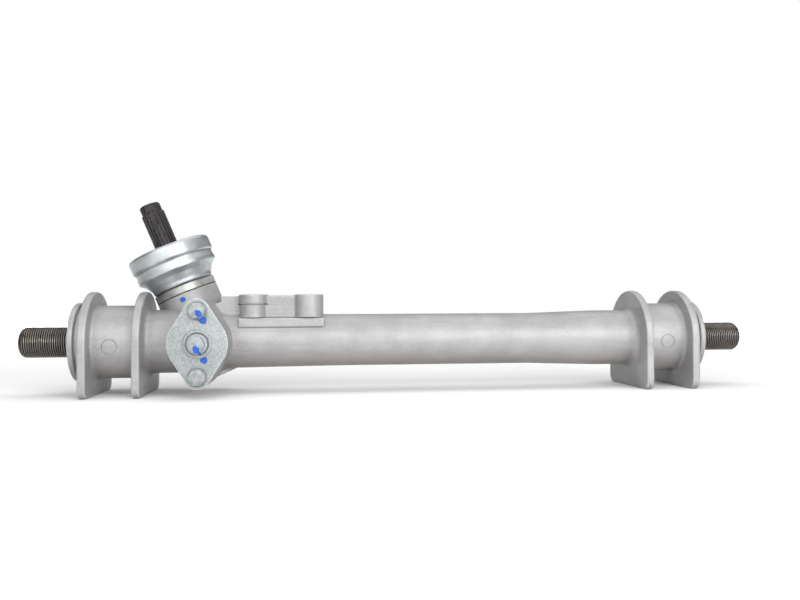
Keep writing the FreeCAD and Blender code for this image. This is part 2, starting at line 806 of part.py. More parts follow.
def tooth_section():
    """Points of the pinion's section square to its axis, one tooth pointing along -Y."""
    tilt = math.radians(dim("pinion_tilt"))
    teeth = int(dim("pinion_teeth"))
    pitch_radius = teeth * dim("normal_module") / (2 * math.cos(tilt))
    normal_angle = math.radians(dim("pressure_angle"))
    pressure = math.atan(math.tan(normal_angle) / math.cos(tilt))
    base_radius = pitch_radius * math.cos(pressure)
    # The rack's tooth width at the pitch line leaves the pinion's, less the backlash
    rise = pitch_radius - dim("rack_tip_reach")
    rack_tooth = dim("rack_tip_land") + 2 * rise * math.tan(normal_angle)
    pinion_tooth = math.pi * dim("normal_module") - rack_tooth - dim("mesh_backlash")
    half_angle = pinion_tooth / math.cos(tilt) / (2 * pitch_radius)
    half_angle += math.tan(pressure) - pressure
    tip_roll = math.sqrt((dim("pinion_tip_radius") / base_radius) ** 2 - 1)
    flank_steps = 3
    flank = [involute_point(base_radius, tip_roll * step / flank_steps) for step in range(flank_steps + 1)]
    flank.insert(0, Vector(dim("pinion_root_radius"), 0, 0))
    right = [Rotation(Vector(0, 0, 1), -math.degrees(half_angle)).multVec(point) for point in flank]
    left = [Vector(point.x, -point.y, 0) for point in reversed(right)]
    outline = []
    for tooth in range(teeth):
        spin = Rotation(Vector(0, 0, 1), -90 + 360 * tooth / teeth)
        outline += [spin.multVec(point) for point in right + left]
    return outline, pitch_radius


def closed_wire(points):
    return Part.Wire([
        Part.LineSegment(points[index - 1], points[index]).toShape() for index in range(len(points))
    ])


def faceted_sweep(sections):
    """A solid through rings of matching points, with flat ends and two triangles between neighbours."""
    faces = [Part.Face(closed_wire(sections[0])), Part.Face(closed_wire(sections[-1]))]
    count = len(sections[0])
    for low, high in zip(sections, sections[1:]):
        for index in range(count):
            following = (index + 1) % count
            faces.append(Part.Face(closed_wire([low[index], low[following], high[following]])))
            faces.append(Part.Face(closed_wire([low[index], high[following], high[index]])))
    solid = Part.Solid(Part.Shell(faces))
    if solid.Volume < 0:
        solid.reverse()
    return solid


def make_pinion_teeth():
    """Helical toothed length of the pinion: its section turns as it climbs the axis."""
    outline, pitch_radius = tooth_section()
    slices = int(dim("gear_slices"))
    half = dim("gear_half_length")
    sections = []
    for index in range(slices + 1):
        height = -half + 2 * half * index / slices
        twist = Rotation(Vector(0, 0, 1), math.degrees(height * helix_angle_tangent() / pitch_radius))
        sections.append([twist.multVec(point) + Vector(0, 0, height) for point in outline])
    feature = doc.addObject("Part::Feature", "pinion_teeth")
    feature.Shape = faceted_sweep(sections)
    return feature


def make_pinion_blank():
    body = new_body("pinion_blank")
    profile = new_sketch(body, "pinion_profile", "XZ_Plane")
    journal_end = "needle_cup_top - needle_cup_length + 0.3"
    seat = "tower_top - bearing_width"
    clip = "tower_top + seat_clearance"
    polygon(profile, [
        ("0", journal_end),
        ("lower_journal_radius - 0.6", journal_end),
        ("lower_journal_radius", "%s + 0.6" % journal_end),
        ("lower_journal_radius", "-gear_half_length"),
        ("pinion_root_radius", "-gear_half_length"),
        ("pinion_root_radius", "gear_half_length"),
        ("neck_radius", "gear_half_length"),
        ("neck_radius", "%s - collar_length" % seat),
        ("collar_radius", "%s - collar_length" % seat),
        ("collar_radius", seat),
        ("bearing_bore_radius", seat),
        ("bearing_bore_radius", clip),
        ("circlip_groove_radius", clip),
        ("circlip_groove_radius", "%s + circlip_width + seat_clearance" % clip),
        ("seal_journal_radius", "%s + circlip_width + seat_clearance" % clip),
        ("seal_journal_radius", "spline_bottom - 2"),
        ("spline_root_radius", "spline_bottom - 1"),
        ("spline_root_radius", "spline_bottom"),
        ("spline_radius", "spline_bottom + 1"),
        ("spline_radius", "spline_top - 0.8"),
        ("pilot_radius", "spline_top"),
        ("pilot_radius", "pilot_top - pilot_chamfer"),
        ("pilot_radius - pilot_chamfer", "pilot_top"),
        ("centre_drill_radius", "pilot_top"),
        ("0", "pilot_top - centre_drill_depth"),
    ])
    revolve(body, "pinion_turned", profile)
    # Splines
    gap = new_sketch(body, "spline_gap_outline", "XY_Plane", ("0", "0", "spline_bottom"))
    half_root = "spline_root_radius * tan(90 deg / spline_count)"
    half_mouth = "spline_radius * tan(115 deg / spline_count)"
    polygon(gap, [
        ("spline_root_radius", "-(%s)" % half_root),
        ("spline_radius + 0.5", "-(%s)" % half_mouth),
        ("spline_radius + 0.5", half_mouth),
        ("spline_root_radius", half_root),
    ])
    cut = pocket(body, "spline_gap", gap, "spline_top - spline_bottom + 1", back=True)
    polar_copies(body, "spline_gaps", cut, "spline_count")
    # Flat for the clamp bolt of the column joint
    flat = new_sketch(body, "clamp_flat_outline", "XY_Plane", ("0", "0", "pilot_top"))
    rectangle(flat, "-spline_radius", "spline_radius", "-2 * spline_radius", "-clamp_flat_depth")
    pocket(body, "clamp_flat", flat, "clamp_flat_length")
    return body


def make_pinion_shaft():
    teeth = make_pinion_teeth()
    blank = make_pinion_blank()
    shaft = doc.addObject("Part::MultiFuse", "pinion_shaft")
    shaft.Shapes = [blank, teeth]
    shaft.Label = "pinion_shaft"
    set_on_pinion_axis(shaft)
    return shaft


# Pinion bearings

def ball_pitch_radius():
    return "(bearing_bore_radius + bearing_outer_radius) / 2"


def race(label, wall_in, wall_out, track, depth):
    """A bearing ring with a trough for the balls turned into its wall.

    track is the wall that faces the balls and depth the signed depth of the trough there.
    """
    bottom = "tower_top - bearing_width + seat_clearance"
    middle = "tower_top - bearing_width / 2"
    half = "ball_diameter / 2 * 0.9"
    trough = [
        (track, "%s - %s" % (middle, half)),
        ("%s + %s" % (track, depth), "%s - %s * 0.55" % (middle, half)),
        ("%s + %s" % (track, depth), "%s + %s * 0.55" % (middle, half)),
        (track, "%s + %s" % (middle, half)),
    ]
    if track == wall_in:
        corners = [(wall_out, "tower_top"), (wall_out, bottom), (wall_in, bottom)] + trough
        corners.append((wall_in, "tower_top"))
    else:
        corners = [(wall_in, "tower_top"), (wall_in, bottom), (wall_out, bottom)] + trough
        corners.append((wall_out, "tower_top"))
    return turned(label, corners, set_on_pinion_axis)


def make_bearing():
    lane = "(bearing_outer_radius - bearing_bore_radius) / 2 - ball_diameter / 2"
    depth = "(race_wall - (%s) + running_clearance)" % lane
    inner_wall = "bearing_bore_radius + race_wall"
    outer_wall = "bearing_outer_radius - race_wall"
    inner = race("bearing_inner_race", "bearing_bore_radius", inner_wall, inner_wall, "-1 * " + depth)
    outer = race(
        "bearing_outer_race", outer_wall, "bearing_outer_radius - seat_clearance", outer_wall, depth)
    return [inner, outer, make_balls(), make_ball_cage()]


def make_balls():
    radius = (dim("bearing_bore_radius") + dim("bearing_outer_radius")) / 2
    height = dim("tower_top") - dim("bearing_width") / 2
    count = int(dim("ball_count"))
    balls = []
    for index in range(count):
        angle = 2 * math.pi * index / count
        centre = Vector(radius * math.cos(angle), radius * math.sin(angle), height)
        balls.append(Part.makeSphere(dim("ball_diameter") / 2, centre))
    feature = doc.addObject("Part::Feature", "bearing_balls")
    feature.Label = "bearing_balls"
    feature.Shape = Part.makeCompound(balls)
    set_on_pinion_axis(feature)
    return feature


def make_ball_cage():
    middle = ball_pitch_radius()
    half_wall = "((bearing_outer_radius - bearing_bore_radius) / 2 - race_wall - 0.5)"
    low = "tower_top - bearing_width / 2 - ball_diameter / 2 - 0.7"
    high = "tower_top - bearing_width / 2 + ball_diameter / 2 + 0.7"
    body = turned("bearing_cage", [
        ("%s - %s" % (middle, half_wall), low), ("%s + %s" % (middle, half_wall), low),
        ("%s + %s" % (middle, half_wall), high), ("%s - %s" % (middle, half_wall), high),
    ], set_on_pinion_axis)
    hole = new_sketch(body, "ball_pocket_outline", "YZ_Plane")
    circle(hole, "0", "tower_top - bearing_width / 2", "ball_diameter / 2 + 2 * seat_clearance")
    cut = pocket(body, "ball_pocket", hole, "2 * bearing_outer_radius", back=True)
    polar_copies(body, "ball_pockets", cut, "ball_count")
    return body


def make_circlip():
    bottom = "tower_top + 2 * seat_clearance"
    top = "tower_top + seat_clearance + circlip_width"
    inner = "circlip_groove_radius + seat_clearance"
    body = turned("bearing_circlip", [
        (inner, bottom), ("circlip_outer_radius", bottom),
        ("circlip_outer_radius", top), (inner, top),
    ], set_on_pinion_axis)
    slot = new_sketch(body, "circlip_slot_outline", "XY_Plane")
    rectangle(slot, "0", "2 * circlip_outer_radius", "-2", "2")
    pocket(body, "circlip_slot", slot, "2 * tower_top", back=True)
    return body


def make_needle_bearing():
    seat = "lower_journal_radius + needle_diameter + needle_cup_wall"
    track = "lower_journal_radius + needle_diameter"
    low = "needle_cup_top - needle_cup_length"
    cup = turned("needle_cup", [
        (track, "%s + 0.8" % low), ("lower_journal_radius + 0.4", "%s + 0.8" % low),
        ("lower_journal_radius + 0.4", "%s + 0.1" % low), ("%s - seat_clearance" % seat, "%s + 0.1" % low),
        ("%s - seat_clearance" % seat, "needle_cup_top"), ("lower_journal_radius + 0.4", "needle_cup_top"),
        ("lower_journal_radius + 0.4", "needle_cup_top - 0.7"), (track, "needle_cup_top - 0.7"),
    ], set_on_pinion_axis)
    return [cup, make_needles(), make_needle_cage()]


def make_needles():
    radius = dim("lower_journal_radius") + dim("needle_diameter") / 2
    low = dim("needle_cup_top") - dim("needle_cup_length") + 1.6
    length = dim("needle_cup_length") - 3.2
    count = int(dim("needle_count"))
    needles = []
    for index in range(count):
        angle = 2 * math.pi * index / count
        foot = Vector(radius * math.cos(angle), radius * math.sin(angle), low)
        needles.append(Part.makeCylinder(dim("needle_diameter") / 2 - 0.02, length, foot))
    feature = doc.addObject("Part::Feature", "bearing_needles")
    feature.Label = "bearing_needles"
    feature.Shape = Part.makeCompound(needles)
    set_on_pinion_axis(feature)
    return feature


def make_needle_cage():
    low = "needle_cup_top - needle_cup_length + 1"
    high = "needle_cup_top - 1"
    inner = "lower_journal_radius + 0.3"
    outer = "lower_journal_radius + needle_diameter - 0.3"
    body = turned("needle_cage", [
        (inner, low), (outer, low), (outer, high), (inner, high),
    ], set_on_pinion_axis)
    slot = new_sketch(body, "needle_slot_outline", "YZ_Plane")
    rectangle(slot, "-needle_diameter / 2 - 0.1", "needle_diameter / 2 + 0.1", low + " + 0.5", high + " - 0.5")
    cut = pocket(body, "needle_slot", slot, "4 * lower_journal_radius", back=True)
    polar_copies(body, "needle_slots", cut, "needle_count")
    return body


# Retainer, seal and cup

def oval_plate(label, bottom, thickness, bore):
    body = new_body(label)
    outline = new_sketch(body, label + "_outline", "XY_Plane", ("0", "0", bottom))
    diamond(outline, "tower_radius", "ear_radius", "cup_screw_offset", False)
    circle(outline, "0", "0", bore)
    for sign in ("", "-"):
        circle(outline, sign + "cup_screw_offset", "0", "cup_screw_radius + hole_clearance")
    pad(body, label + "_plate", outline, thickness)
    set_on_pinion_axis(body)
    return body


def make_retainer():
    plate_bottom = "tower_top + gasket_thickness"
    gasket = oval_plate("retainer_gasket", "tower_top", "gasket_thickness", "bearing_outer_radius")
    body = oval_plate(
        "pinion_retainer", plate_bottom, "retainer_top - tower_top - gasket_thickness",
        "retainer_bore_radius")
    neck = new_sketch(body, "retainer_neck_profile", "XZ_Plane")
    polygon(neck, [
        ("retainer_bore_radius", "retainer_top - 1"),
        ("retainer_neck_radius", "retainer_top - 1"),
        ("retainer_neck_radius", "retainer_neck_top - 0.5"),
        ("retainer_neck_radius - 0.5", "retainer_neck_top"),
        ("seal_radius", "retainer_neck_top"),
        ("seal_radius", "seal_bottom"),
        ("retainer_bore_radius", "seal_bottom"),
    ])
    revolve(body, "retainer_neck", neck)
    return [gasket, body]


def make_seal():
    outer = "seal_radius - seat_clearance"
    inner = "seal_journal_radius + seal_case_wall + 1.6"
    case = turned("seal_case", [
        (outer, "seal_bottom"), (outer, "retainer_neck_top - 0.4"),
        (inner, "retainer_neck_top - 0.4"), (inner, "retainer_neck_top - 0.4 - seal_case_wall"),
        ("%s - seal_case_wall" % outer, "retainer_neck_top - 0.4 - seal_case_wall"),
        ("%s - seal_case_wall" % outer, "seal_bottom"),
    ], set_on_pinion_axis)
    lip = "seal_journal_radius + running_clearance"
    rubber = turned("pinion_seal", [
        (lip, "seal_bottom + 2"), ("%s - seal_case_wall" % outer, "seal_bottom + 0.5"),
        ("%s - seal_case_wall" % outer, "retainer_neck_top - 0.4 - seal_case_wall"),
        (inner, "retainer_neck_top - 0.4 - seal_case_wall"),
        (inner, "retainer_neck_top - 0.4"),
        ("%s + 0.6" % lip, "retainer_neck_top + 0.3"), (lip, "retainer_neck_top"),
        ("%s + 0.9" % lip, "retainer_neck_top - 1.6"), ("%s + 0.9" % lip, "seal_bottom + 3"),
        (lip, "seal_bottom + 2.6"),
    ], set_on_pinion_axis)
    return [case, rubber]


def make_cup():
    """Pressed cup, one wall thick, with a bulge, a waist and a rolled rim."""
    outside = [
        ("cup_base_radius", "retainer_top"),
        ("cup_heel_radius", "cup_heel_height"),
        ("cup_shoulder_radius", "cup_shoulder_height"),
        ("cup_bulge_radius", "cup_bulge_bottom"),
        ("cup_bulge_radius", "cup_bulge_top"),
        ("cup_waist_radius", "cup_waist_height"),
        ("cup_rim_radius", "cup_rim_bottom"),
        ("cup_rim_radius", "cup_rim_top - 1"),
        ("cup_rim_radius - 1", "cup_rim_top"),
    ]
    inside = [
        ("cup_rim_radius - 1 - cup_wall", "cup_rim_top"),
        ("cup_rim_radius - cup_wall", "cup_rim_top - 1.4"),
        ("cup_rim_radius - cup_wall", "cup_rim_bottom + 0.5"),
        ("cup_waist_radius - cup_wall", "cup_waist_height"),
        ("cup_bulge_radius - cup_wall", "cup_bulge_top"),
        ("cup_bulge_radius - cup_wall", "cup_bulge_bottom + 0.5"),
        ("cup_shoulder_radius - cup_wall", "cup_shoulder_height + 0.4"),
        ("cup_heel_radius - cup_wall", "cup_heel_height + 0.3"),
        ("cup_base_radius - cup_wall", "retainer_top + cup_wall"),
        ("retainer_neck_radius + seat_clearance", "retainer_top + cup_wall"),
        ("retainer_neck_radius + seat_clearance", "retainer_top"),
    ]
    body = turned("column_cup", outside + inside, set_on_pinion_axis)
    holes = new_sketch(body, "cup_hole_outline", "XY_Plane", ("0", "0", "retainer_top"))
    for sign in ("", "-"):
        circle(holes, sign + "cup_screw_offset", "0", "cup_screw_radius + hole_clearance")
    pocket(body, "cup_holes", holes, "cup_wall", back=True)
    return body


def make_cup_screw(label, sign):
    body = new_body(label)
    profile = new_sketch(body, label + "_profile", "XZ_Plane")
    seat = "retainer_top + cup_wall"
    tip = "tower_top - cup_screw_grip"
    polygon(profile, [
        ("0", tip), ("cup_screw_radius", tip), ("cup_screw_radius", seat),
        ("cup_screw_head_radius", seat),
        ("cup_screw_head_radius", "%s + cup_screw_head_height - 0.4" % seat),
        ("cup_screw_head_radius - 0.4", "%s + cup_screw_head_height" % seat),
        ("0", "%s + cup_screw_head_height" % seat),
    ])
    revolve(body, label + "_turned", profile)
    socket = new_sketch(
        body, label + "_socket_outline", "XY_Plane", ("0", "0", "%s + cup_screw_head_height" % seat))
    hexagon(socket, "cup_screw_socket")
    pocket(body, label + "_socket", socket, "socket_depth")
    body.Placement = Placement(Vector(0, 0, 0), Rotation(Vector(0, 1, 0), -1))
    body.setExpression(
        "Placement.Base.x", cells("pinion_x %s cup_screw_offset * cos(pinion_tilt * 1 deg)" % sign))
    body.setExpression("Placement.Base.y", cells("pinion_y"))
    body.setExpression(
        "Placement.Base.z", cells("0 %s cup_screw_offset * sin(pinion_tilt * 1 deg)" % sign))
    body.setExpression("Placement.Rotation.Angle", cells("-pinion_tilt"))
    return body


def grouped(label, bodies):
    group = doc.addObject("Part::Compound", label)
    group.Links = bodies
    group.Label = label
    return group


# Yoke group, drawn with Z towards the front

def make_yoke():
    body = turned("yoke", [
        ("0", "yoke_back"), ("yoke_radius", "yoke_back"),
        ("yoke_radius", "yoke_front - 7"),
        ("yoke_radius - o_ring_depth", "yoke_front - 7"),
        ("yoke_radius - o_ring_depth", "yoke_front - 7 + o_ring_width + 0.2"),
        ("yoke_radius", "yoke_front - 7 + o_ring_width + 0.2"),
        ("yoke_radius", "yoke_front - 0.6"), ("yoke_radius - 0.6", "yoke_front"),
        ("spring_well_radius", "yoke_front"),
        ("spring_well_radius", "yoke_front - spring_well_depth"),
        ("0", "yoke_front - spring_well_depth"),
    ], set_on_yoke_axis)
    cradle = new_sketch(body, "cradle_outline", "YZ_Plane")
    circle(cradle, "0", "0", "rack_diameter / 2 + running_clearance + liner_thickness")
    pocket(body, "cradle", cradle, "3 * yoke_radius", both_ways=True)
    return body


def make_liner():
    """Thin low-friction pad between the yoke and the bar."""
    body = new_body("yoke_liner")
    outline = new_sketch(body, "liner_outline", "YZ_Plane")
    half = math.radians(dim("liner_half_angle"))
    inner = dim("rack_diameter") / 2 + dim("running_clearance")
    outer = inner + dim("liner_thickness")
    up = Vector(0, 0, 1)
    middle = math.pi / 2
    outer_arc = Part.ArcOfCircle(Part.Circle(Vector(0, 0, 0), up, outer), middle - half, middle + half)
    inner_arc = Part.ArcOfCircle(Part.Circle(Vector(0, 0, 0), up, inner), middle - half, middle + half)
    outline.addGeometry(outer_arc, False)
    outline.addGeometry(Part.LineSegment(outer_arc.EndPoint, inner_arc.EndPoint), False)
    outline.addGeometry(inner_arc, False)
    outline.addGeometry(Part.LineSegment(inner_arc.StartPoint, outer_arc.StartPoint), False)
    for pair in ((0, 2, 1, 1), (1, 2, 2, 2), (2, 1, 3, 1), (3, 2, 0, 1)):
        outline.addConstraint(Sketcher.Constraint("Coincident", *pair))
    inner_size = "rack_diameter / 2 + running_clearance"
    sizes = {0: inner_size + " + liner_thickness", 2: inner_size}
    for index, size in sizes.items():
        pin_point(outline, index, 3, "0", "0")
        bind(outline, Sketcher.Constraint("Radius", index, 10), size)
        for point, sign in ((1, ""), (2, "-")):
            place = outline.getPoint(index, point)
            across = "%s(%s) * sin(liner_half_angle * 1 deg)" % (sign, size)
            bind(outline, Sketcher.Constraint("DistanceX", -1, 1, index, point, place.x), across)
    pad(body, "liner_pad", outline, "liner_length", both_ways=True)
    set_on_yoke_axis(body)
    return body


def make_yoke_o_ring():
    low = "yoke_front - 7 + 0.1"
    high = "yoke_front - 7 + 0.1 + o_ring_width"
    inner = "yoke_radius - o_ring_depth + 0.05"
    return turned("yoke_o_ring", [
        (inner, low + " + 0.5"), (inner + " + 0.4", low), ("yoke_radius - 0.4", low),
        ("yoke_radius", low + " + 0.5"), ("yoke_radius", high + " - 0.5"),
        ("yoke_radius - 0.4", high), (inner + " + 0.4", high), (inner, high + " - 0.5"),
    ], set_on_yoke_axis)


def make_spring():
    """Coil of square wire between the yoke and the adjuster."""
    per_turn = 16
    low = dim("yoke_front") - dim("spring_well_depth")
    wire = dim("spring_wire")
    rise = dim("adjuster_back") - low - wire
    steps = int(dim("spring_turns") * per_turn)
    corners = ((-1, -1), (1, -1), (1, 1), (-1, 1))
    sections = []
    for index in range(steps + 1):
        spin = Rotation(Vector(0, 0, 1), 360 * index / per_turn)
        height = low + wire / 2 + rise * index / steps
        sections.append([
            spin.multVec(Vector(dim("spring_radius") + across * wire / 2, 0, height + up * wire / 2))
            for across, up in corners
        ])
    feature = doc.addObject("Part::Feature", "yoke_spring")
    feature.Label = "yoke_spring"
    feature.Shape = faceted_sweep(sections)
    set_on_yoke_axis(feature)
    return feature


def diamond_plate(label, bottom, thickness, bore):
    body = new_body(label)
    outline = new_sketch(body, label + "_outline", "XY_Plane", ("0", "0", bottom))
    diamond(outline, "cover_mid_radius", "cover_ear_radius", "cover_bolt_offset", True)
    circle(outline, "0", "0", bore)
    for sign in ("", "-"):
        circle(outline, "0", sign + "cover_bolt_offset", "cover_bolt_radius + hole_clearance")
    pad(body, label + "_plate", outline, thickness)
    set_on_yoke_axis(body)
    return body


def make_cover():
    gasket = diamond_plate(
        "yoke_cover_gasket", "yoke_boss_front", "cover_gasket_thickness", "yoke_radius")
    plate = diamond_plate(
        "yoke_cover", "yoke_boss_front + cover_gasket_thickness", "cover_thickness",
        "adjuster_radius + running_clearance")
    hub = new_sketch(plate, "cover_hub_profile", "XZ_Plane")
    face = "yoke_boss_front + cover_gasket_thickness + cover_thickness"
    polygon(hub, [
        ("adjuster_radius + running_clearance", "%s - 1" % face),
        ("cover_hub_radius + 1", "%s - 1" % face),
        ("cover_hub_radius + 1", face),
        ("cover_hub_radius", "%s + cover_hub_height" % face),
        ("adjuster_radius + 1", "%s + cover_hub_height" % face),
        ("adjuster_radius + running_clearance", face),
    ])
    revolve(plate, "cover_hub", hub)
    return [gasket, plate]


def make_adjuster():
    face = "yoke_boss_front + cover_gasket_thickness + cover_thickness"
    body = turned("yoke_adjuster", [
        ("0", "adjuster_back"), ("adjuster_radius", "adjuster_back"),
        ("adjuster_radius", "%s + adjuster_disc_height - 0.5" % face),
        ("adjuster_radius - 0.5", "%s + adjuster_disc_height" % face),
        ("0", "%s + adjuster_disc_height" % face),
    ], set_on_yoke_axis)
    head = new_sketch(body, "adjuster_hex_outline", "XY_Plane", ("0", "0", "%s + 1" % face))
    hexagon(head, "adjuster_hex")
    pad(body, "adjuster_head", head, "adjuster_disc_height + adjuster_hex_height - 1")
    return body


def make_cover_bolt(label, sign):
    """Hexagon bolt with a washer face."""
    face = "yoke_boss_front + cover_gasket_thickness + cover_thickness"
    body = new_body(label)
    profile = new_sketch(body, label + "_profile", "XZ_Plane")
    tip = "yoke_boss_front - cover_bolt_grip"
    polygon(profile, [
        ("0", tip), ("cover_bolt_radius", tip), ("cover_bolt_radius", face),
        ("cover_washer_radius", face), ("cover_washer_radius", "%s + cover_washer_height" % face),
        ("0", "%s + cover_washer_height" % face),
    ])
    revolve(body, label + "_turned", profile)
    head = new_sketch(body, label + "_hex_outline", "XY_Plane", ("0", "0", "%s + 0.5" % face))
    hexagon(head, "cover_bolt_hex")
    pad(body, label + "_head", head, "cover_washer_height + cover_bolt_head - 0.5")
    set_on_yoke_axis(body)
    body.setExpression("Placement.Base.z", cells("0 %s cover_bolt_offset" % sign))
    return body


def build():
    nodes = [make_housing(), make_rack(), make_rack_bush(), make_bush_ring(), make_pinion_shaft()]
    nodes += make_bearing()
    nodes.append(make_circlip())
    nodes += make_needle_bearing()
    nodes += make_retainer()
    nodes += make_seal()
    nodes.append(make_cup())
    nodes.append(grouped("cup_screws", [
        make_cup_screw("cup_screw_right", "+"), make_cup_screw("cup_screw_left", "-")]))
    nodes += [make_yoke(), make_liner(), make_yoke_o_ring(), make_spring()]
    nodes += make_cover()
    nodes.append(make_adjuster())
    nodes.append(grouped("yoke_cover_bolts", [
        make_cover_bolt("cover_bolt_upper", "+"), make_cover_bolt("cover_bolt_lower", "-")]))
    return nodes


def write(nodes):
    doc.recompute()
    for item in doc.Objects:
        if "Invalid" in item.State or "Error" in item.State:
            raise RuntimeError("%s did not build" % item.Label)
    os.makedirs("parts", exist_ok=True)
    for node in nodes:
        if node.Shape.isNull() or not node.Shape.isValid():
            raise RuntimeError("%s has no valid shape" % node.Label)
    for node in nodes:
        node.Shape.exportStep("parts/%s.step" % node.Label)
        box = node.Shape.BoundBox
        print("%-20s solids %2d  volume %9.1f  box %s" % (
            node.Label, len(node.Shape.Solids), node.Shape.Volume,
            " ".join("%.1f" % side for side in (
                box.XMin, box.YMin, box.ZMin, box.XMax, box.YMax, box.ZMax))))


write(build())
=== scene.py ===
import json
import math

import bmesh
import bpy
from mathutils import Matrix, Vector, noise


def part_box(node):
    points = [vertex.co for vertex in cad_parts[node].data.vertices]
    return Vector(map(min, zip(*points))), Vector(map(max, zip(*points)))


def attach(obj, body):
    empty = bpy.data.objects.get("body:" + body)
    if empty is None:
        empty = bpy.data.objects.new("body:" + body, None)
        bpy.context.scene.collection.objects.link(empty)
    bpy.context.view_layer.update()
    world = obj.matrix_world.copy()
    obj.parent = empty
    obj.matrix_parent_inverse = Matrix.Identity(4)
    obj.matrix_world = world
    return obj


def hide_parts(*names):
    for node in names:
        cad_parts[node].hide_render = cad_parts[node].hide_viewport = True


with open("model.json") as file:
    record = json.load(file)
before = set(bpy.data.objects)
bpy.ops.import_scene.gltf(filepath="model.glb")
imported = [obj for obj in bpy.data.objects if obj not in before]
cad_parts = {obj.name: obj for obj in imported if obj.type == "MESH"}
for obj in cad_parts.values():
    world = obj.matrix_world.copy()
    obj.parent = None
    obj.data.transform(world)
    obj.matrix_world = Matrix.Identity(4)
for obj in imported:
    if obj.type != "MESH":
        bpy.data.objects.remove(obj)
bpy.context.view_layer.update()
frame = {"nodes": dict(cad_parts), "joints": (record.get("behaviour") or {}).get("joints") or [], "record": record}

# Looks of a rack-and-pinion steering gear. Sizes here are millimetres, scaled on the way into a mesh.
MM = 0.001
NODES = frame["nodes"]
HOUSING_LOW, HOUSING_HIGH = (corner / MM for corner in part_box("housing"))
_, RACK_HIGH = (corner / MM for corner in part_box("rack"))
COVER_LOW, COVER_HIGH = (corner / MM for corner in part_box("yoke_cover"))
ADJUSTER_LOW, _ = (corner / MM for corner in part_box("yoke_adjuster"))
BOLTS_LOW, _ = (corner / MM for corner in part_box("yoke_cover_bolts"))
JOINTS = {joint["name"]: joint for joint in frame["joints"]}

# Barrel: radii, and places along the rack axis
HALF = HOUSING_HIGH.x
BEAD_WIDTH = 4
BEAD_RADIUS = 28.3
BEAD_ROUNDING = 0.9
GROOVE_RADIUS = 25.6
GROOVE_ROUNDING = 0.6
GROOVE_ROOT_ROUNDING = 1.6
SEAT_CENTRE = 202.7
SEAT_WIDTH = 30
SEAT_RADIUS = 26.3
SEAT_ROUNDING = 2.8
HUB_HEIGHT = 4
FLANGE_THICKNESS = 5.7
FLANGE_ROUNDING = 1.1
FLANGE_RADIUS = HOUSING_HIGH.y
FLANGE_FOOT = -HOUSING_LOW.z
FLANGE_CORNER = 6
LEFT_TUBE_RADIUS = 23
MID_TUBE_RADIUS = 20
SLIM_TUBE_RADIUS = 19.25
RIGHT_TUBE_RADIUS = 21
LEFT_TUBE_END = -136
MID_TUBE_START = -126
SLIM_TUBE_START = -45
SLIM_TUBE_END = 100
RIGHT_TUBE_START = 152
TAPER_ROUNDING = 60
STEP_ROUNDING = 8
LEFT_ROOT_ROUNDING = 3.2
RIGHT_ROOT_ROUNDING = 4.5

# Bores along the rack
MOUTH_RADIUS = 22
MOUTH_DEPTH = 47
MOUTH_CHAMFER = 1.0
JOINT_BORE_RADIUS = 18
JOINT_BORE_END = 163
BUSH_BORE_RADIUS = 15
BUSH_BORE_END = 125
CORED_BORE_RADIUS = 14
GUIDE_BORE_RADIUS = 12.4
GUIDE_BORE_END = -118
OVERRUN = 2

# Pinion axis
PINION_FOOT = Vector(JOINTS["pinion_spin"]["pos_m"]) / MM
PINION_AXIS = Vector(JOINTS["pinion_spin"]["axis"])
PINION_ACROSS = Vector((PINION_AXIS.z, 0, -PINION_AXIS.x))
TOWER_FOOT = -6
TOWER_TOP = 38
TOWER_RADIUS = 19.5
EAR_RADIUS = 5.6
EAR_OFFSET = 17.3
EAR_BASE = 22
LOWER_BOSS_RADIUS = 14.5
LOWER_BOSS_END = -28
LOWER_BOSS_TOP = 10
NEEDLE_BORE_RADIUS = 8.1
NEEDLE_BORE_FOOT = -25.5
GEAR_BORE_RADIUS = 10.4
GEAR_BORE_FOOT = -15
BEARING_BORE_RADIUS = 14
BEARING_BORE_FOOT = 30
BEARING_BORE_TOP = 41

# Cup, heights along the pinion axis
CUP_FLOOR = 44
CUP_WALL = 1.2
CUP_TOP = 74.2
CUP_HOLE_RADIUS = 13.9
CUP_BASE_RADIUS = 22
CUP_NECK_RADIUS = 22.6
CUP_SHOULDER_RADIUS = 25.6
CUP_BELLY_RADIUS = 29.6
CUP_RIM_RADIUS = 30.6
CUP_LIP_RADIUS = 25.4
CUP_WAIST_LINE = 62.7

# Yoke boss
YOKE_X = (COVER_LOW.x + COVER_HIGH.x) / 2
BOSS_FRONT = -HOUSING_LOW.y
BOSS_RADIUS = 20.35
BOSS_BACK = -2.5
BOSS_EAR_RADIUS = 8.4
BOLT_OFFSET = 22.5
YOKE_BORE_RADIUS = 13.05
YOKE_BORE_START = 1
COVER_FACE = 48

# Bracket block: a shelf, two bosses, the bridge between them and the web to the tower
LEFT_BOSS = (-106.7, -9.5)
RIGHT_BOSS = (-66.4, -9.5)
LEFT_BOSS_RADIUS = 9.7
LEFT_LIP_RADIUS = 10.5
LEFT_LIP_FOOT = 27.3
RIGHT_BOSS_RADIUS = 10.6
BRACKET_TOP = 34
SHELF_LEFT = -116.5
SHELF_RIGHT = -55.8
SHELF_FRONT = -18.8
SHELF_BACK = 6
SHELF_FOOT = 10.4
SHELF_TOP = 17
BRIDGE_FRONT = -13.4
BRIDGE_FOOT = 8
BRIDGE_TOP = 33.3
WEB_OUTLINE = [(-106.7, 8), (-106.7, 33), (-130.6, 33), (-130.4, 28.6), (-135, 27.5), (-133, 8)]
WEB_HALF_THICKNESS = 6
BRACKET_HOLE_RADIUS = 3.4
BRACKET_HOLE_FOOT = 19
BRACKET_HOLE_CUT_TOP = 40

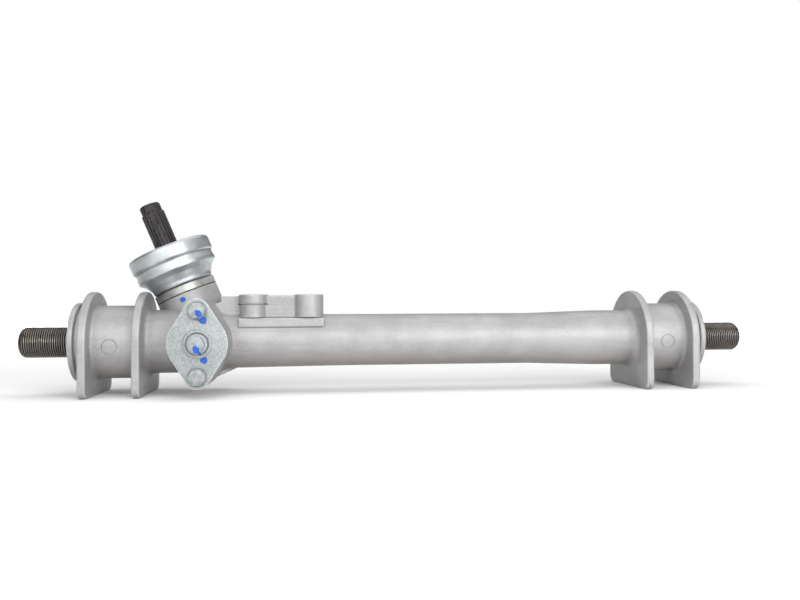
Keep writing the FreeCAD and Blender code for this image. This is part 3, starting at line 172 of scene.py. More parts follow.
# Fine lines of the casting
SHELF_LINE_BOX = (-117.5, -54.5, -22, -13.0)
SHELF_LINE_FOOT = 16.7
SHELF_LINE_TOP = 17.4
LIP_LINE_INNER = 9.25
LIP_LINE_OUTER = 12
LIP_LINE_FOOT = 26.6
LIP_LINE_TOP = 27.2
EJECTOR_PLACES = (-204.4, 202.8)
EJECTOR_HEIGHT = -2.3
EJECTOR_INNER = 4.85
EJECTOR_OUTER = 5.25
EJECTOR_DEPTH = 24.9
EJECTOR_REACH = 27


def axes_matrix(origin, x_axis, y_axis, z_axis):
    """A frame at an origin, from its three axes."""
    matrix = Matrix.Identity(4)
    for column, axis in enumerate((x_axis, y_axis, z_axis, origin)):
        matrix.col[column][:3] = axis
    return matrix


ORIGIN = Vector((0, 0, 0))
ALONG = Vector((1, 0, 0))
REARWARD = Vector((0, 1, 0))
FORWARD = Vector((0, -1, 0))
UPWARD = Vector((0, 0, 1))
YOKE_CENTRE = Vector((YOKE_X, 0, 0))
PINION_FRAME = axes_matrix(PINION_FOOT, PINION_ACROSS, REARWARD, PINION_AXIS)
YOKE_FRAME = axes_matrix(YOKE_CENTRE, ALONG, UPWARD, FORWARD)
RACK_FRAME = axes_matrix(ORIGIN, REARWARD, UPWARD, ALONG)
LEVEL_FRAME = axes_matrix(ORIGIN, ALONG, REARWARD, UPWARD)
UPRIGHT_FRAME = axes_matrix(ORIGIN, ALONG, UPWARD, REARWARD)


# Outlines

def filleted(corners, steps=6):
    """Points of a closed outline given as (a, b, radius), each corner rounded by its radius."""
    points = []
    count = len(corners)
    for index, (a, b, radius) in enumerate(corners):
        here = Vector((a, b))
        if radius == 0:
            points.append(here)
            continue
        before = Vector(corners[index - 1][:2]) - here
        after = Vector(corners[(index + 1) % count][:2]) - here
        half_angle = before.angle(after) / 2
        reach = radius / math.tan(half_angle)
        reach = min(reach, before.length * 0.49, after.length * 0.49)
        radius = reach * math.tan(half_angle)
        start = here + before.normalized() * reach
        end = here + after.normalized() * reach
        inward = (before.normalized() + after.normalized()).normalized()
        centre = here + inward * (radius / math.sin(half_angle))
        sweep = (start - centre).angle_signed(end - centre)
        for step in range(steps + 1):
            turn = Matrix.Rotation(-sweep * step / steps, 2)
            points.append(centre + turn @ (start - centre))
    return points


def arc(centre, radius, start, end, steps):
    """Points on an arc, angles in degrees."""
    points = []
    for step in range(steps + 1):
        angle = math.radians(start + (end - start) * step / steps)
        points.append(Vector((centre[0] + radius * math.cos(angle), centre[1] + radius * math.sin(angle))))
    return points


def circle(centre, radius, count):
    """Evenly spaced points on a whole circle."""
    return arc(centre, radius, 0, 360 - 360 / count, count - 1)


def box_outline(left, right, low, high):
    return [(left, low), (right, low), (right, high), (left, high)]


def diamond(middle, ear, offset, upright, steps=40):
    """A middle circle and two ear circles joined by their tangent lines."""
    lean = math.degrees(math.asin((middle - ear) / offset))
    points = arc((0, 0), middle, -lean, lean, steps)
    points += arc((0, offset), ear, lean, 180 - lean, steps)
    points += arc((0, 0), middle, 180 - lean, 180 + lean, steps)
    points += arc((0, -offset), ear, 180 + lean, 360 - lean, steps)
    if not upright:
        points = [Vector((-point.y, point.x)) for point in points]
    return points


def flange_outline():
    """Round on top, with square feet whose corners are rounded."""
    corner = FLANGE_CORNER
    points = arc((0, 0), FLANGE_RADIUS, 0, 180, 90)
    points += arc((corner - FLANGE_RADIUS, corner - FLANGE_FOOT), corner, 180, 270, 12)
    points += arc((FLANGE_RADIUS - corner, corner - FLANGE_FOOT), corner, 270, 360, 12)
    return points


# Meshes

def mesh_object(name, build):
    """An object whose mesh is filled by build(bm) in millimetres."""
    bm = bmesh.new()
    build(bm)
    bmesh.ops.remove_doubles(bm, verts=bm.verts, dist=1e-4)
    bmesh.ops.recalc_face_normals(bm, faces=bm.faces)
    bmesh.ops.scale(bm, vec=(MM, MM, MM), verts=bm.verts)
    mesh = bpy.data.meshes.new(name)
    bm.to_mesh(mesh)
    bm.free()
    piece = bpy.data.objects.new(name, mesh)
    bpy.context.scene.collection.objects.link(piece)
    return piece


def lathe(bm, profile, matrix, steps=128):
    """Turns a closed profile of (radius, height) round the matrix's Z axis."""
    rings = []
    for step in range(steps):
        angle = 2 * math.pi * step / steps
        ring = []
        for radius, height in profile:
            place = Vector((radius * math.cos(angle), radius * math.sin(angle), height))
            ring.append(bm.verts.new(matrix @ place))
        rings.append(ring)
    count = len(profile)
    for step in range(steps):
        ring, following = rings[step], rings[(step + 1) % steps]
        for index in range(count):
            above = (index + 1) % count
            if profile[index][0] == 0 and profile[above][0] == 0:
                continue
            if profile[index][0] == 0:
                bm.faces.new((ring[index], following[above], ring[above]))
            elif profile[above][0] == 0:
                bm.faces.new((ring[index], following[index], ring[above]))
            else:
                bm.faces.new((ring[index], following[index], following[above], ring[above]))


def prism(bm, outline, matrix, low, high):
    """A straight prism on an outline, from low to high along the matrix's Z axis."""
    bottom = [bm.verts.new(matrix @ Vector((point[0], point[1], low))) for point in outline]
    top = [bm.verts.new(matrix @ Vector((point[0], point[1], high))) for point in outline]
    count = len(outline)
    bm.faces.new(bottom)
    bm.faces.new(top)
    for index in range(count):
        following = (index + 1) % count
        bm.faces.new((bottom[index], bottom[following], top[following], top[index]))


def rounded_prism(bm, outline, matrix, low, high, rounding, steps=3):
    """A prism whose rims are rounded by pulling the end outlines in."""
    centre = sum((Vector(point) for point in outline), Vector((0, 0))) / len(outline)
    count = len(outline)
    normals = []
    for index in range(count):
        along = Vector(outline[(index + 1) % count]) - Vector(outline[index - 1])
        normal = Vector((along.y, -along.x)).normalized()
        if normal.dot(Vector(outline[index]) - centre) < 0:
            normal = -normal
        normals.append(normal)
    layers = []
    for step in range(steps + 1):
        angle = math.pi / 2 * step / steps
        layers.append((low + rounding * (1 - math.sin(angle)), rounding * (1 - math.cos(angle))))
    layers = layers[::-1] + [(low + high - height, pull) for height, pull in layers]
    rings = []
    for height, pull in layers:
        rings.append([
            bm.verts.new(matrix @ Vector((*(Vector(point) - normal * pull), height)))
            for point, normal in zip(outline, normals)
        ])
    for ring, following in zip(rings, rings[1:]):
        for index in range(count):
            after = (index + 1) % count
            bm.faces.new((ring[index], ring[after], following[after], following[index]))
    bm.faces.new(rings[0])
    bm.faces.new(rings[-1])


def shade(piece, angle=40):
    """Smooth shading with creases where faces meet at more than an angle."""
    mesh = piece.data
    mesh.shade_smooth()
    bm = bmesh.new()
    bm.from_mesh(mesh)
    limit = math.radians(angle)
    for edge in bm.edges:
        edge.smooth = not (len(edge.link_faces) == 2 and edge.calc_face_angle(0) > limit)
    bm.to_mesh(mesh)
    bm.free()


def applied(piece):
    """Replaces the piece's mesh by the result of its modifiers."""
    depsgraph = bpy.context.evaluated_depsgraph_get()
    mesh = bpy.data.meshes.new_from_object(piece.evaluated_get(depsgraph))
    piece.modifiers.clear()
    old = piece.data
    piece.data = mesh
    bpy.data.meshes.remove(old)


def dress(piece, body, slot, material, *nodes):
    """Gives a piece its material, its body and the solids that it stands for."""
    piece.data.materials.clear()
    piece.data.materials.append(material)
    if nodes:
        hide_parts(*nodes)
    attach(piece, body)
    return piece


# Materials

def add(tree, kind, **settings):
    made = tree.nodes.new("ShaderNode" + kind)
    for name, value in settings.items():
        setattr(made, name, value)
    return made


def math_node(tree, operation, first, second=None, clamp=False):
    made = add(tree, "Math", operation=operation, use_clamp=clamp)
    for socket, value in zip(made.inputs, (first, second)):
        if value is None:
            continue
        if isinstance(value, (int, float)):
            socket.default_value = value
        else:
            tree.links.new(value, socket)
    return made.outputs[0]


def ramp(tree, source, low, high, first=0.0, last=1.0):
    """Maps low..high of the source to first..last."""
    made = add(tree, "MapRange")
    tree.links.new(source, made.inputs["Value"])
    for name, value in (("From Min", low), ("From Max", high), ("To Min", first), ("To Max", last)):
        made.inputs[name].default_value = value
    return made.outputs["Result"]


def mixed(tree, share, first, second):
    """Mixes two colours, each a colour or a socket, by a share."""
    made = add(tree, "Mix", data_type="RGBA")
    for socket, value in ((made.inputs[6], first), (made.inputs[7], second)):
        if isinstance(value, tuple):
            socket.default_value = (*value, 1)
        else:
            tree.links.new(value, socket)
    tree.links.new(share, made.inputs[0])
    return made.outputs[2]


def noise_at(tree, place, scale, detail=3, roughness=0.5, stretch=None):
    source = place
    if stretch:
        moved = add(tree, "Mapping")
        moved.inputs["Scale"].default_value = stretch
        tree.links.new(place, moved.inputs["Vector"])
        source = moved.outputs[0]
    made = add(tree, "TexNoise")
    tree.links.new(source, made.inputs["Vector"])
    made.inputs["Scale"].default_value = scale
    made.inputs["Detail"].default_value = detail
    made.inputs["Roughness"].default_value = roughness
    return made.outputs["Fac"]


def bumped(tree, shader, height, distance, strength):
    """Raises the surface by a height, distance in metres."""
    made = add(tree, "Bump")
    made.inputs["Distance"].default_value = distance
    made.inputs["Strength"].default_value = strength
    tree.links.new(height, made.inputs["Height"])
    tree.links.new(made.outputs[0], shader.inputs["Normal"])


def start(name, metallic, specular=0.5):
    material = bpy.data.materials.new(name)
    material.use_nodes = True
    tree = material.node_tree
    shader = tree.nodes["Principled BSDF"]
    shader.inputs["Metallic"].default_value = metallic
    shader.inputs["Specular IOR Level"].default_value = specular
    coords = add(tree, "TexCoord")
    return material, tree, shader, coords


def wear(tree, low, high):
    """Share of edge wear from how convex the surface is."""
    geometry = add(tree, "NewGeometry")
    return ramp(tree, geometry.outputs["Pointiness"], low, high)


def front_edge(tree, coords):
    """Share of the rounded edges between faces that look to the front and their sides."""
    facing = add(tree, "SeparateXYZ")
    tree.links.new(coords.outputs["Normal"], facing.inputs[0])
    turned = ramp(tree, facing.outputs["Y"], -0.97, -0.85)
    side = ramp(tree, facing.outputs["Y"], -0.10, -0.30)
    return math_node(tree, "MULTIPLY", turned, side)


def axis_distance(tree, coords, origin, axis):
    """Distance in millimetres from an axis through an origin, and the height along it."""
    offset = add(tree, "VectorMath", operation="SUBTRACT")
    tree.links.new(coords.outputs["Object"], offset.inputs[0])
    offset.inputs[1].default_value = origin * MM
    along = add(tree, "VectorMath", operation="DOT_PRODUCT")
    tree.links.new(offset.outputs[0], along.inputs[0])
    along.inputs[1].default_value = axis
    across = add(tree, "VectorMath", operation="CROSS_PRODUCT")
    tree.links.new(offset.outputs[0], across.inputs[0])
    across.inputs[1].default_value = axis
    length = add(tree, "VectorMath", operation="LENGTH")
    tree.links.new(across.outputs[0], length.inputs[0])
    distance = math_node(tree, "MULTIPLY", length.outputs["Value"], 1 / MM)
    height = math_node(tree, "MULTIPLY", along.outputs["Value"], 1 / MM)
    return distance, height


def cast_aluminium():
    """Blasted casting: light grey and matt, with brown painted shade on faces that look down and in hollows,
    bright on worn edges.
    """
    material, tree, shader, coords = start("cast_aluminium", 0.45, 0.4)
    place = coords.outputs["Object"]
    cloud = noise_at(tree, place, 45, 4, 0.6)
    grain = noise_at(tree, place, 1100, 4, 0.7)
    base = mixed(tree, ramp(tree, cloud, 0.35, 0.65), (0.305, 0.302, 0.305), (0.385, 0.382, 0.386))
    base = mixed(tree, ramp(tree, grain, 0.42, 0.62, 0, 0.45), base, (0.49, 0.485, 0.49))
    streak = noise_at(tree, place, 260, 4, 0.65, (0.10, 1, 1))
    base = mixed(tree, ramp(tree, streak, 0.52, 0.68, 0, 0.22), base, (0.24, 0.22, 0.205))
    up = add(tree, "SeparateXYZ")
    tree.links.new(coords.outputs["Normal"], up.inputs[0])
    # Painted shade: faces that look down are mixed towards dark brown.
    painted_underside_shade = ramp(tree, up.outputs["Z"], -0.25, -0.9, 0, 0.42)
    base = mixed(tree, painted_underside_shade, base, (0.20, 0.165, 0.135))
    worn = math_node(tree, "MULTIPLY", wear(tree, 0.515, 0.56), 0.55)
    base = mixed(tree, worn, base, (0.66, 0.66, 0.665))
    # Painted shade: concave places, where pointiness is low, are mixed towards dark brown.
    painted_hollow_shade = ramp(tree, add(tree, "NewGeometry").outputs["Pointiness"], 0.485, 0.44, 0, 0.45)
    base = mixed(tree, painted_hollow_shade, base, (0.16, 0.135, 0.115))
    tree.links.new(base, shader.inputs["Base Color"])
    tree.links.new(ramp(tree, grain, 0.3, 0.7, 0.46, 0.62), shader.inputs["Roughness"])
    bumped(tree, shader, grain, 0.00016, 0.6)
    return material


def machined_aluminium():
    """Turned light alloy with fine tool lines."""
    material, tree, shader, coords = start("machined_aluminium", 0.85)
    place = coords.outputs["Object"]
    lines = noise_at(tree, place, 900, 2, 0.5, (0.2, 1, 1))
    cloud = noise_at(tree, place, 120, 4, 0.6)
    base = mixed(tree, ramp(tree, cloud, 0.35, 0.68), (0.40, 0.40, 0.385), (0.58, 0.58, 0.56))
    tree.links.new(base, shader.inputs["Base Color"])
    tree.links.new(ramp(tree, lines, 0.3, 0.7, 0.46, 0.60), shader.inputs["Roughness"])
    bumped(tree, shader, lines, 0.00003, 0.4)
    return material


def zinc_steel():
    """Zinc plate with water marks, fine rolling lines, a line of painted shade along the waist groove and a dark
    joint at its base.
    """
    material, tree, shader, coords = start("zinc_steel", 1.0)
    place = coords.outputs["Object"]
    cloud = noise_at(tree, place, 70, 5, 0.65)
    blotch = noise_at(tree, place, 28, 3, 0.55)
    _, height = axis_distance(tree, coords, PINION_FOOT, PINION_AXIS)
    rolled = add(tree, "TexNoise", noise_dimensions="1D")
    tree.links.new(height, rolled.inputs["W"])
    rolled.inputs["Scale"].default_value = 3.0
    rolled.inputs["Detail"].default_value = 4
    base = mixed(tree, ramp(tree, cloud, 0.35, 0.65), (0.46, 0.49, 0.51), (0.64, 0.67, 0.69))
    base = mixed(tree, ramp(tree, blotch, 0.52, 0.72, 0, 0.4), base, (0.36, 0.355, 0.31))
    base = mixed(tree, ramp(tree, rolled.outputs["Fac"], 0.35, 0.65, 0, 0.25), base, (0.30, 0.33, 0.35))
    # Painted shade: a thin dark line along the waist groove.
    waist = math_node(tree, "ABSOLUTE", math_node(tree, "SUBTRACT", height, CUP_WAIST_LINE))
    base = mixed(tree, ramp(tree, waist, 0.7, 0.1, 0, 0.55), base, (0.16, 0.165, 0.16))
    joint = ramp(tree, height, CUP_FLOOR + 1.0, CUP_FLOOR + 0.2, 0, 0.85)
    base = mixed(tree, joint, base, (0.03, 0.03, 0.03))
    tree.links.new(base, shader.inputs["Base Color"])
    cloudy = ramp(tree, cloud, 0.3, 0.7, 0.36, 0.50)
    lined = ramp(tree, rolled.outputs["Fac"], 0.3, 0.7, 0, 0.08)
    tree.links.new(math_node(tree, "ADD", cloudy, lined), shader.inputs["Roughness"])
    bumped(tree, shader, rolled.outputs["Fac"], 0.00008, 0.5)
    return material


def phosphated_steel():
    """Blue-black phosphate, with painted shade in the spline roots and a painted highlight along the crests,
    partly rubbed wear.
    """
    material, tree, shader, coords = start("phosphated_steel", 0.2, 0.3)
    place = coords.outputs["Object"]
    cloud = noise_at(tree, place, 260, 5, 0.65)
    fine = noise_at(tree, place, 1500, 3, 0.6)
    distance, height = axis_distance(tree, coords, PINION_FOOT, PINION_AXIS)
    base = mixed(tree, ramp(tree, cloud, 0.35, 0.7), (0.004, 0.004, 0.006), (0.008, 0.008, 0.011))
    # Painted shade: the spline roots are mixed towards near black.
    painted_root_shade = ramp(tree, distance, 8.25, 7.75, 0, 0.8)
    painted_root_shade = math_node(tree, "MULTIPLY", painted_root_shade, ramp(tree, height, 104.5, 103.0))
    base = mixed(tree, painted_root_shade, base, (0.0015, 0.0015, 0.002))
    # Painted highlight along the spline crests, partly rubbed wear: the crests are mixed towards a mottled pale
    # grey.
    crest_highlight = ramp(tree, distance, 8.2, 8.45, 0, 0.8)
    crest_highlight_colour = mixed(tree, ramp(tree, fine, 0.4, 0.6), (0.014, 0.012, 0.015), (0.055, 0.046, 0.050))
    base = mixed(tree, crest_highlight, base, crest_highlight_colour)
    rubbed = math_node(tree, "MULTIPLY", wear(tree, 0.53, 0.60), ramp(tree, fine, 0.40, 0.62), True)
    base = mixed(tree, math_node(tree, "MULTIPLY", rubbed, 0.5), base, (0.12, 0.105, 0.105))
    tree.links.new(base, shader.inputs["Base Color"])
    tree.links.new(ramp(tree, cloud, 0.3, 0.7, 0.38, 0.58), shader.inputs["Roughness"])
    bumped(tree, shader, fine, 0.00006, 0.5)
    return material


def rack_steel():
    """Dark oiled steel with rust in the thread roots and a painted highlight along the crests."""
    material, tree, shader, coords = start("rack_steel", 0.9, 0.5)
    place = coords.outputs["Object"]
    distance, _ = axis_distance(tree, coords, ORIGIN, ALONG)
    patches = noise_at(tree, place, 220, 5, 0.7)
    base = mixed(tree, ramp(tree, patches, 0.4, 0.66), (0.050, 0.044, 0.040), (0.12, 0.105, 0.092))
    rust = math_node(tree, "MULTIPLY", ramp(tree, patches, 0.52, 0.66), ramp(tree, distance, 10.9, 10.2))
    base = mixed(tree, math_node(tree, "MULTIPLY", rust, 0.8), base, (0.14, 0.06, 0.025))
    # Painted highlight: the outermost radius of the bar and threads is mixed towards pale grey.
    crest_highlight = ramp(tree, distance, 10.7, 10.98, 0, 0.8)
    base = mixed(tree, crest_highlight, base, (0.36, 0.335, 0.31))
    tree.links.new(base, shader.inputs["Base Color"])
    tree.links.new(ramp(tree, patches, 0.3, 0.7, 0.22, 0.42), shader.inputs["Roughness"])
    bumped(tree, shader, patches, 0.00004, 0.4)
    return material


def cover_metal():
    """Coarse cast face with a painted highlight along its rounded rim and painted shade in rings round the bolts.
    """
    material, tree, shader, coords = start("cover_metal", 0.6, 0.4)
    place = coords.outputs["Object"]
    cells = add(tree, "TexVoronoi", feature="F1")
    tree.links.new(place, cells.inputs["Vector"])
    cells.inputs["Scale"].default_value = 850
    dimples = cells.outputs["Distance"]
    cloud = noise_at(tree, place, 150, 3, 0.6)
    base = mixed(tree, ramp(tree, dimples, 0.15, 0.62), (0.24, 0.26, 0.265), (0.40, 0.425, 0.43))
    base = mixed(tree, ramp(tree, cloud, 0.42, 0.68, 0, 0.4), base, (0.30, 0.315, 0.31))
    distance, _ = axis_distance(tree, coords, YOKE_CENTRE, REARWARD)
    outer = ramp(tree, distance, 11, 12)
    # Painted highlight: the rounded rim outside the hub is mixed towards near white.
    rim = math_node(tree, "MULTIPLY", front_edge(tree, coords), outer)
    # Painted shade: dark rings round the bolt washers.
    for height in (-BOLT_OFFSET, BOLT_OFFSET):
        away, _ = axis_distance(tree, coords, Vector((YOKE_X, 0, height)), REARWARD)
        base = mixed(tree, ramp(tree, away, 6.9, 5.9, 0, 0.7), base, (0.08, 0.085, 0.085))
    base = mixed(tree, rim, base, (0.92, 0.93, 0.94))
    tree.links.new(base, shader.inputs["Base Color"])
    tree.links.new(ramp(tree, dimples, 0.1, 0.6, 0.44, 0.60), shader.inputs["Roughness"])
    bumped(tree, shader, dimples, 0.00012, 0.5)
    return material


def plated_steel(name, dark, light, roughness):
    """Zinc plated fastener steel, dull in patches, with a painted highlight on its front edges."""
    material, tree, shader, coords = start(name, 0.6, 0.4)
    place = coords.outputs["Object"]
    cloud = noise_at(tree, place, 320, 4, 0.6)
    speck = noise_at(tree, place, 1400, 3, 0.6)
    base = mixed(tree, ramp(tree, cloud, 0.36, 0.66), dark, light)
    base = mixed(tree, ramp(tree, speck, 0.55, 0.7, 0, 0.25), base, (0.12, 0.125, 0.13))
    # Painted highlight: the rounded front edges are mixed towards near white.
    base = mixed(tree, math_node(tree, "MULTIPLY", front_edge(tree, coords), 0.4), base, (0.85, 0.86, 0.86))
    tree.links.new(base, shader.inputs["Base Color"])
    rough = ramp(tree, cloud, 0.3, 0.7, roughness - 0.06, roughness + 0.1)
    tree.links.new(rough, shader.inputs["Roughness"])
    bumped(tree, shader, cloud, 0.00006, 0.4)
    return material


def plain_solid(name, dark, light, metallic, roughness, scale, depth):
    """Rubber, plastic, sheet or ground metal with a grain of its own scale."""
    material, tree, shader, coords = start(name, metallic)
    cloud = noise_at(tree, coords.outputs["Object"], scale, 4, 0.6)
    tree.links.new(mixed(tree, ramp(tree, cloud, 0.35, 0.65), dark, light), shader.inputs["Base Color"])
    rough = ramp(tree, cloud, 0.3, 0.7, roughness - 0.06, roughness + 0.08)
    tree.links.new(rough, shader.inputs["Roughness"])
    bumped(tree, shader, cloud, depth, 0.5)
    return material


def blue_paint():
    """Inspection paint, thin at its edges."""
    material, tree, shader, coords = start("marking_paint", 0.0, 0.25)
    cloud = noise_at(tree, coords.outputs["Object"], 700, 3, 0.6)
    base = mixed(tree, ramp(tree, cloud, 0.35, 0.68), (0.012, 0.062, 0.36), (0.045, 0.14, 0.55))
    tree.links.new(base, shader.inputs["Base Color"])
    tree.links.new(ramp(tree, cloud, 0.3, 0.7, 0.55, 0.7), shader.inputs["Roughness"])
    bumped(tree, shader, cloud, 0.00006, 0.5)
    return material


# Dark and light colour, roughness
PLATED_LOOKS = {
    "bolt_steel": ((0.24, 0.255, 0.26), (0.40, 0.42, 0.43), 0.46),
    "adjuster_steel": ((0.26, 0.285, 0.305), (0.38, 0.42, 0.45), 0.48),
    "screw_steel": ((0.20, 0.205, 0.21), (0.36, 0.37, 0.38), 0.45),
}

# Dark and light colour, metallic, roughness, scale of the grain and its depth in metres
PLAIN_LOOKS = {
    "spring_steel": ((0.14, 0.14, 0.15), (0.30, 0.30, 0.32), 0.95, 0.34, 300, 0.00003),
    "bearing_steel": ((0.60, 0.61, 0.62), (0.76, 0.77, 0.78), 1.0, 0.16, 200, 0.00001),
    "yoke_metal": ((0.42, 0.42, 0.43), (0.62, 0.62, 0.63), 0.85, 0.38, 260, 0.00003),
    "cage_brass": ((0.52, 0.38, 0.15), (0.70, 0.54, 0.26), 1.0, 0.30, 260, 0.00002),
    "bush_plastic": ((0.74, 0.71, 0.62), (0.86, 0.84, 0.76), 0.0, 0.48, 400, 0.00003),
    "gasket_fibre": ((0.030, 0.028, 0.026), (0.085, 0.080, 0.074), 0.0, 0.78, 900, 0.00008),
    "seal_rubber": ((0.012, 0.012, 0.013), (0.035, 0.035, 0.037), 0.0, 0.52, 700, 0.00005),
}

MATERIALS = {
    "cast_aluminium": cast_aluminium(),
    "machined_aluminium": machined_aluminium(),
    "zinc_steel": zinc_steel(),
    "phosphated_steel": phosphated_steel(),
    "rack_steel": rack_steel(),
    "cover_metal": cover_metal(),
}
MATERIALS.update({name: plated_steel(name, *look) for name, look in PLATED_LOOKS.items()})
MATERIALS.update({name: plain_solid(name, *look) for name, look in PLAIN_LOOKS.items()})
PAINT = blue_paint()


# Housing

def barrel_profile():
    """(radius, x) corners of the turned outside, closed along the axis, each with its rounding."""
    seat_out = SEAT_CENTRE + SEAT_WIDTH / 2
    seat_in = SEAT_CENTRE - SEAT_WIDTH / 2
    hub = SEAT_RADIUS + HUB_HEIGHT
    end = [
        (0, HALF, 0),
        (BEAD_RADIUS, HALF, BEAD_ROUNDING),
        (BEAD_RADIUS, HALF - BEAD_WIDTH, BEAD_ROUNDING),
        (GROOVE_RADIUS, HALF - BEAD_WIDTH, GROOVE_ROUNDING),
        (GROOVE_RADIUS, seat_out + FLANGE_THICKNESS, GROOVE_ROOT_ROUNDING),
        (hub, seat_out + FLANGE_THICKNESS, 0),
        (hub, seat_out, 0),
        (SEAT_RADIUS, seat_out, SEAT_ROUNDING),
        (SEAT_RADIUS, seat_in, SEAT_ROUNDING),
        (hub, seat_in, 0),
        (hub, seat_in - FLANGE_THICKNESS, 0),
    ]
    right = end + [
        (RIGHT_TUBE_RADIUS, seat_in - FLANGE_THICKNESS, RIGHT_ROOT_ROUNDING),
        (RIGHT_TUBE_RADIUS, RIGHT_TUBE_START, TAPER_ROUNDING),
        (SLIM_TUBE_RADIUS, SLIM_TUBE_END, TAPER_ROUNDING),
        (SLIM_TUBE_RADIUS, SLIM_TUBE_START, TAPER_ROUNDING),
        (MID_TUBE_RADIUS, MID_TUBE_START, STEP_ROUNDING),
        (LEFT_TUBE_RADIUS, LEFT_TUBE_END, STEP_ROUNDING),
    ]
    left = [(radius, -x, rounding) for radius, x, rounding in reversed(end)]
    left.insert(0, (LEFT_TUBE_RADIUS, -(seat_in - FLANGE_THICKNESS), LEFT_ROOT_ROUNDING))
    return filleted(right + left)


def bore_profile():
    """(radius, x) corners of the rack's bore, run past both mouths."""
    mouth = HALF - MOUTH_DEPTH
    wide = MOUTH_RADIUS + MOUTH_CHAMFER
    return [
        (0, HALF + OVERRUN),
        (wide, HALF + OVERRUN),
        (wide, HALF),
        (MOUTH_RADIUS, HALF - MOUTH_CHAMFER),
        (MOUTH_RADIUS, mouth),
        (JOINT_BORE_RADIUS, mouth),
        (JOINT_BORE_RADIUS, JOINT_BORE_END),
        (BUSH_BORE_RADIUS, JOINT_BORE_END),
        (BUSH_BORE_RADIUS, BUSH_BORE_END),
        (CORED_BORE_RADIUS, BUSH_BORE_END),
        (CORED_BORE_RADIUS, GUIDE_BORE_END),
        (GUIDE_BORE_RADIUS, GUIDE_BORE_END),
        (GUIDE_BORE_RADIUS, -JOINT_BORE_END),
        (JOINT_BORE_RADIUS, -JOINT_BORE_END),
        (JOINT_BORE_RADIUS, -mouth),
        (MOUTH_RADIUS, -mouth),
        (MOUTH_RADIUS, -HALF + MOUTH_CHAMFER),
        (wide, -HALF),
        (wide, -HALF - OVERRUN),
        (0, -HALF - OVERRUN),
    ]


def casting(bm):
    """Every raised form of the casting, as closed shells that overlap."""
    lathe(bm, barrel_profile(), RACK_FRAME, 200)
    flanges(bm)
    boss = diamond(BOSS_RADIUS, BOSS_EAR_RADIUS, BOLT_OFFSET, True)
    prism(bm, boss, YOKE_FRAME, BOSS_BACK, BOSS_FRONT)
    prism(bm, circle((0, 0), TOWER_RADIUS, 120), PINION_FRAME, TOWER_FOOT, TOWER_TOP)
    prism(bm, diamond(TOWER_RADIUS, EAR_RADIUS, EAR_OFFSET, False), PINION_FRAME, EAR_BASE, TOWER_TOP)
    prism(bm, circle((0, 0), LOWER_BOSS_RADIUS, 120), PINION_FRAME, LOWER_BOSS_END, LOWER_BOSS_TOP)
    bracket_block(bm)


def flanges(bm):
    """The four plates beside the two clamp seats."""
    outline = flange_outline()
    for x in (-SEAT_CENTRE - SEAT_WIDTH / 2 - FLANGE_THICKNESS, -SEAT_CENTRE + SEAT_WIDTH / 2,
              SEAT_CENTRE - SEAT_WIDTH / 2 - FLANGE_THICKNESS, SEAT_CENTRE + SEAT_WIDTH / 2):
        rounded_prism(bm, outline, RACK_FRAME, x, x + FLANGE_THICKNESS, FLANGE_ROUNDING)


def bracket_block(bm):
    shelf = box_outline(SHELF_LEFT, SHELF_RIGHT, SHELF_FRONT, SHELF_BACK)
    prism(bm, shelf, LEVEL_FRAME, SHELF_FOOT, SHELF_TOP)
    prism(bm, circle(LEFT_BOSS, LEFT_BOSS_RADIUS, 90), LEVEL_FRAME, SHELF_TOP, BRACKET_TOP)
    prism(bm, circle(LEFT_BOSS, LEFT_LIP_RADIUS, 90), LEVEL_FRAME, LEFT_LIP_FOOT, BRACKET_TOP)
    prism(bm, circle(RIGHT_BOSS, RIGHT_BOSS_RADIUS, 90), LEVEL_FRAME, SHELF_TOP, BRACKET_TOP)
    bridge = box_outline(LEFT_BOSS[0], RIGHT_BOSS[0], BRIDGE_FRONT, 0)
    prism(bm, bridge, LEVEL_FRAME, BRIDGE_FOOT, BRIDGE_TOP)
    prism(bm, WEB_OUTLINE, UPRIGHT_FRAME, -WEB_HALF_THICKNESS, WEB_HALF_THICKNESS)


def rack_bore_cutter(bm):
    lathe(bm, bore_profile(), RACK_FRAME, 160)


def yoke_cutter(bm):
    bore = box_outline(0, YOKE_BORE_RADIUS, YOKE_BORE_START, BOSS_FRONT + OVERRUN)
    lathe(bm, bore, YOKE_FRAME, 96)


def pinion_cutter(bm):
    lathe(bm, [
        (0, NEEDLE_BORE_FOOT),
        (NEEDLE_BORE_RADIUS, NEEDLE_BORE_FOOT),
        (NEEDLE_BORE_RADIUS, GEAR_BORE_FOOT),
        (GEAR_BORE_RADIUS, GEAR_BORE_FOOT),
        (GEAR_BORE_RADIUS, BEARING_BORE_FOOT),
        (BEARING_BORE_RADIUS, BEARING_BORE_FOOT),
        (BEARING_BORE_RADIUS, BEARING_BORE_TOP),
        (0, BEARING_BORE_TOP),
    ], PINION_FRAME, 96)


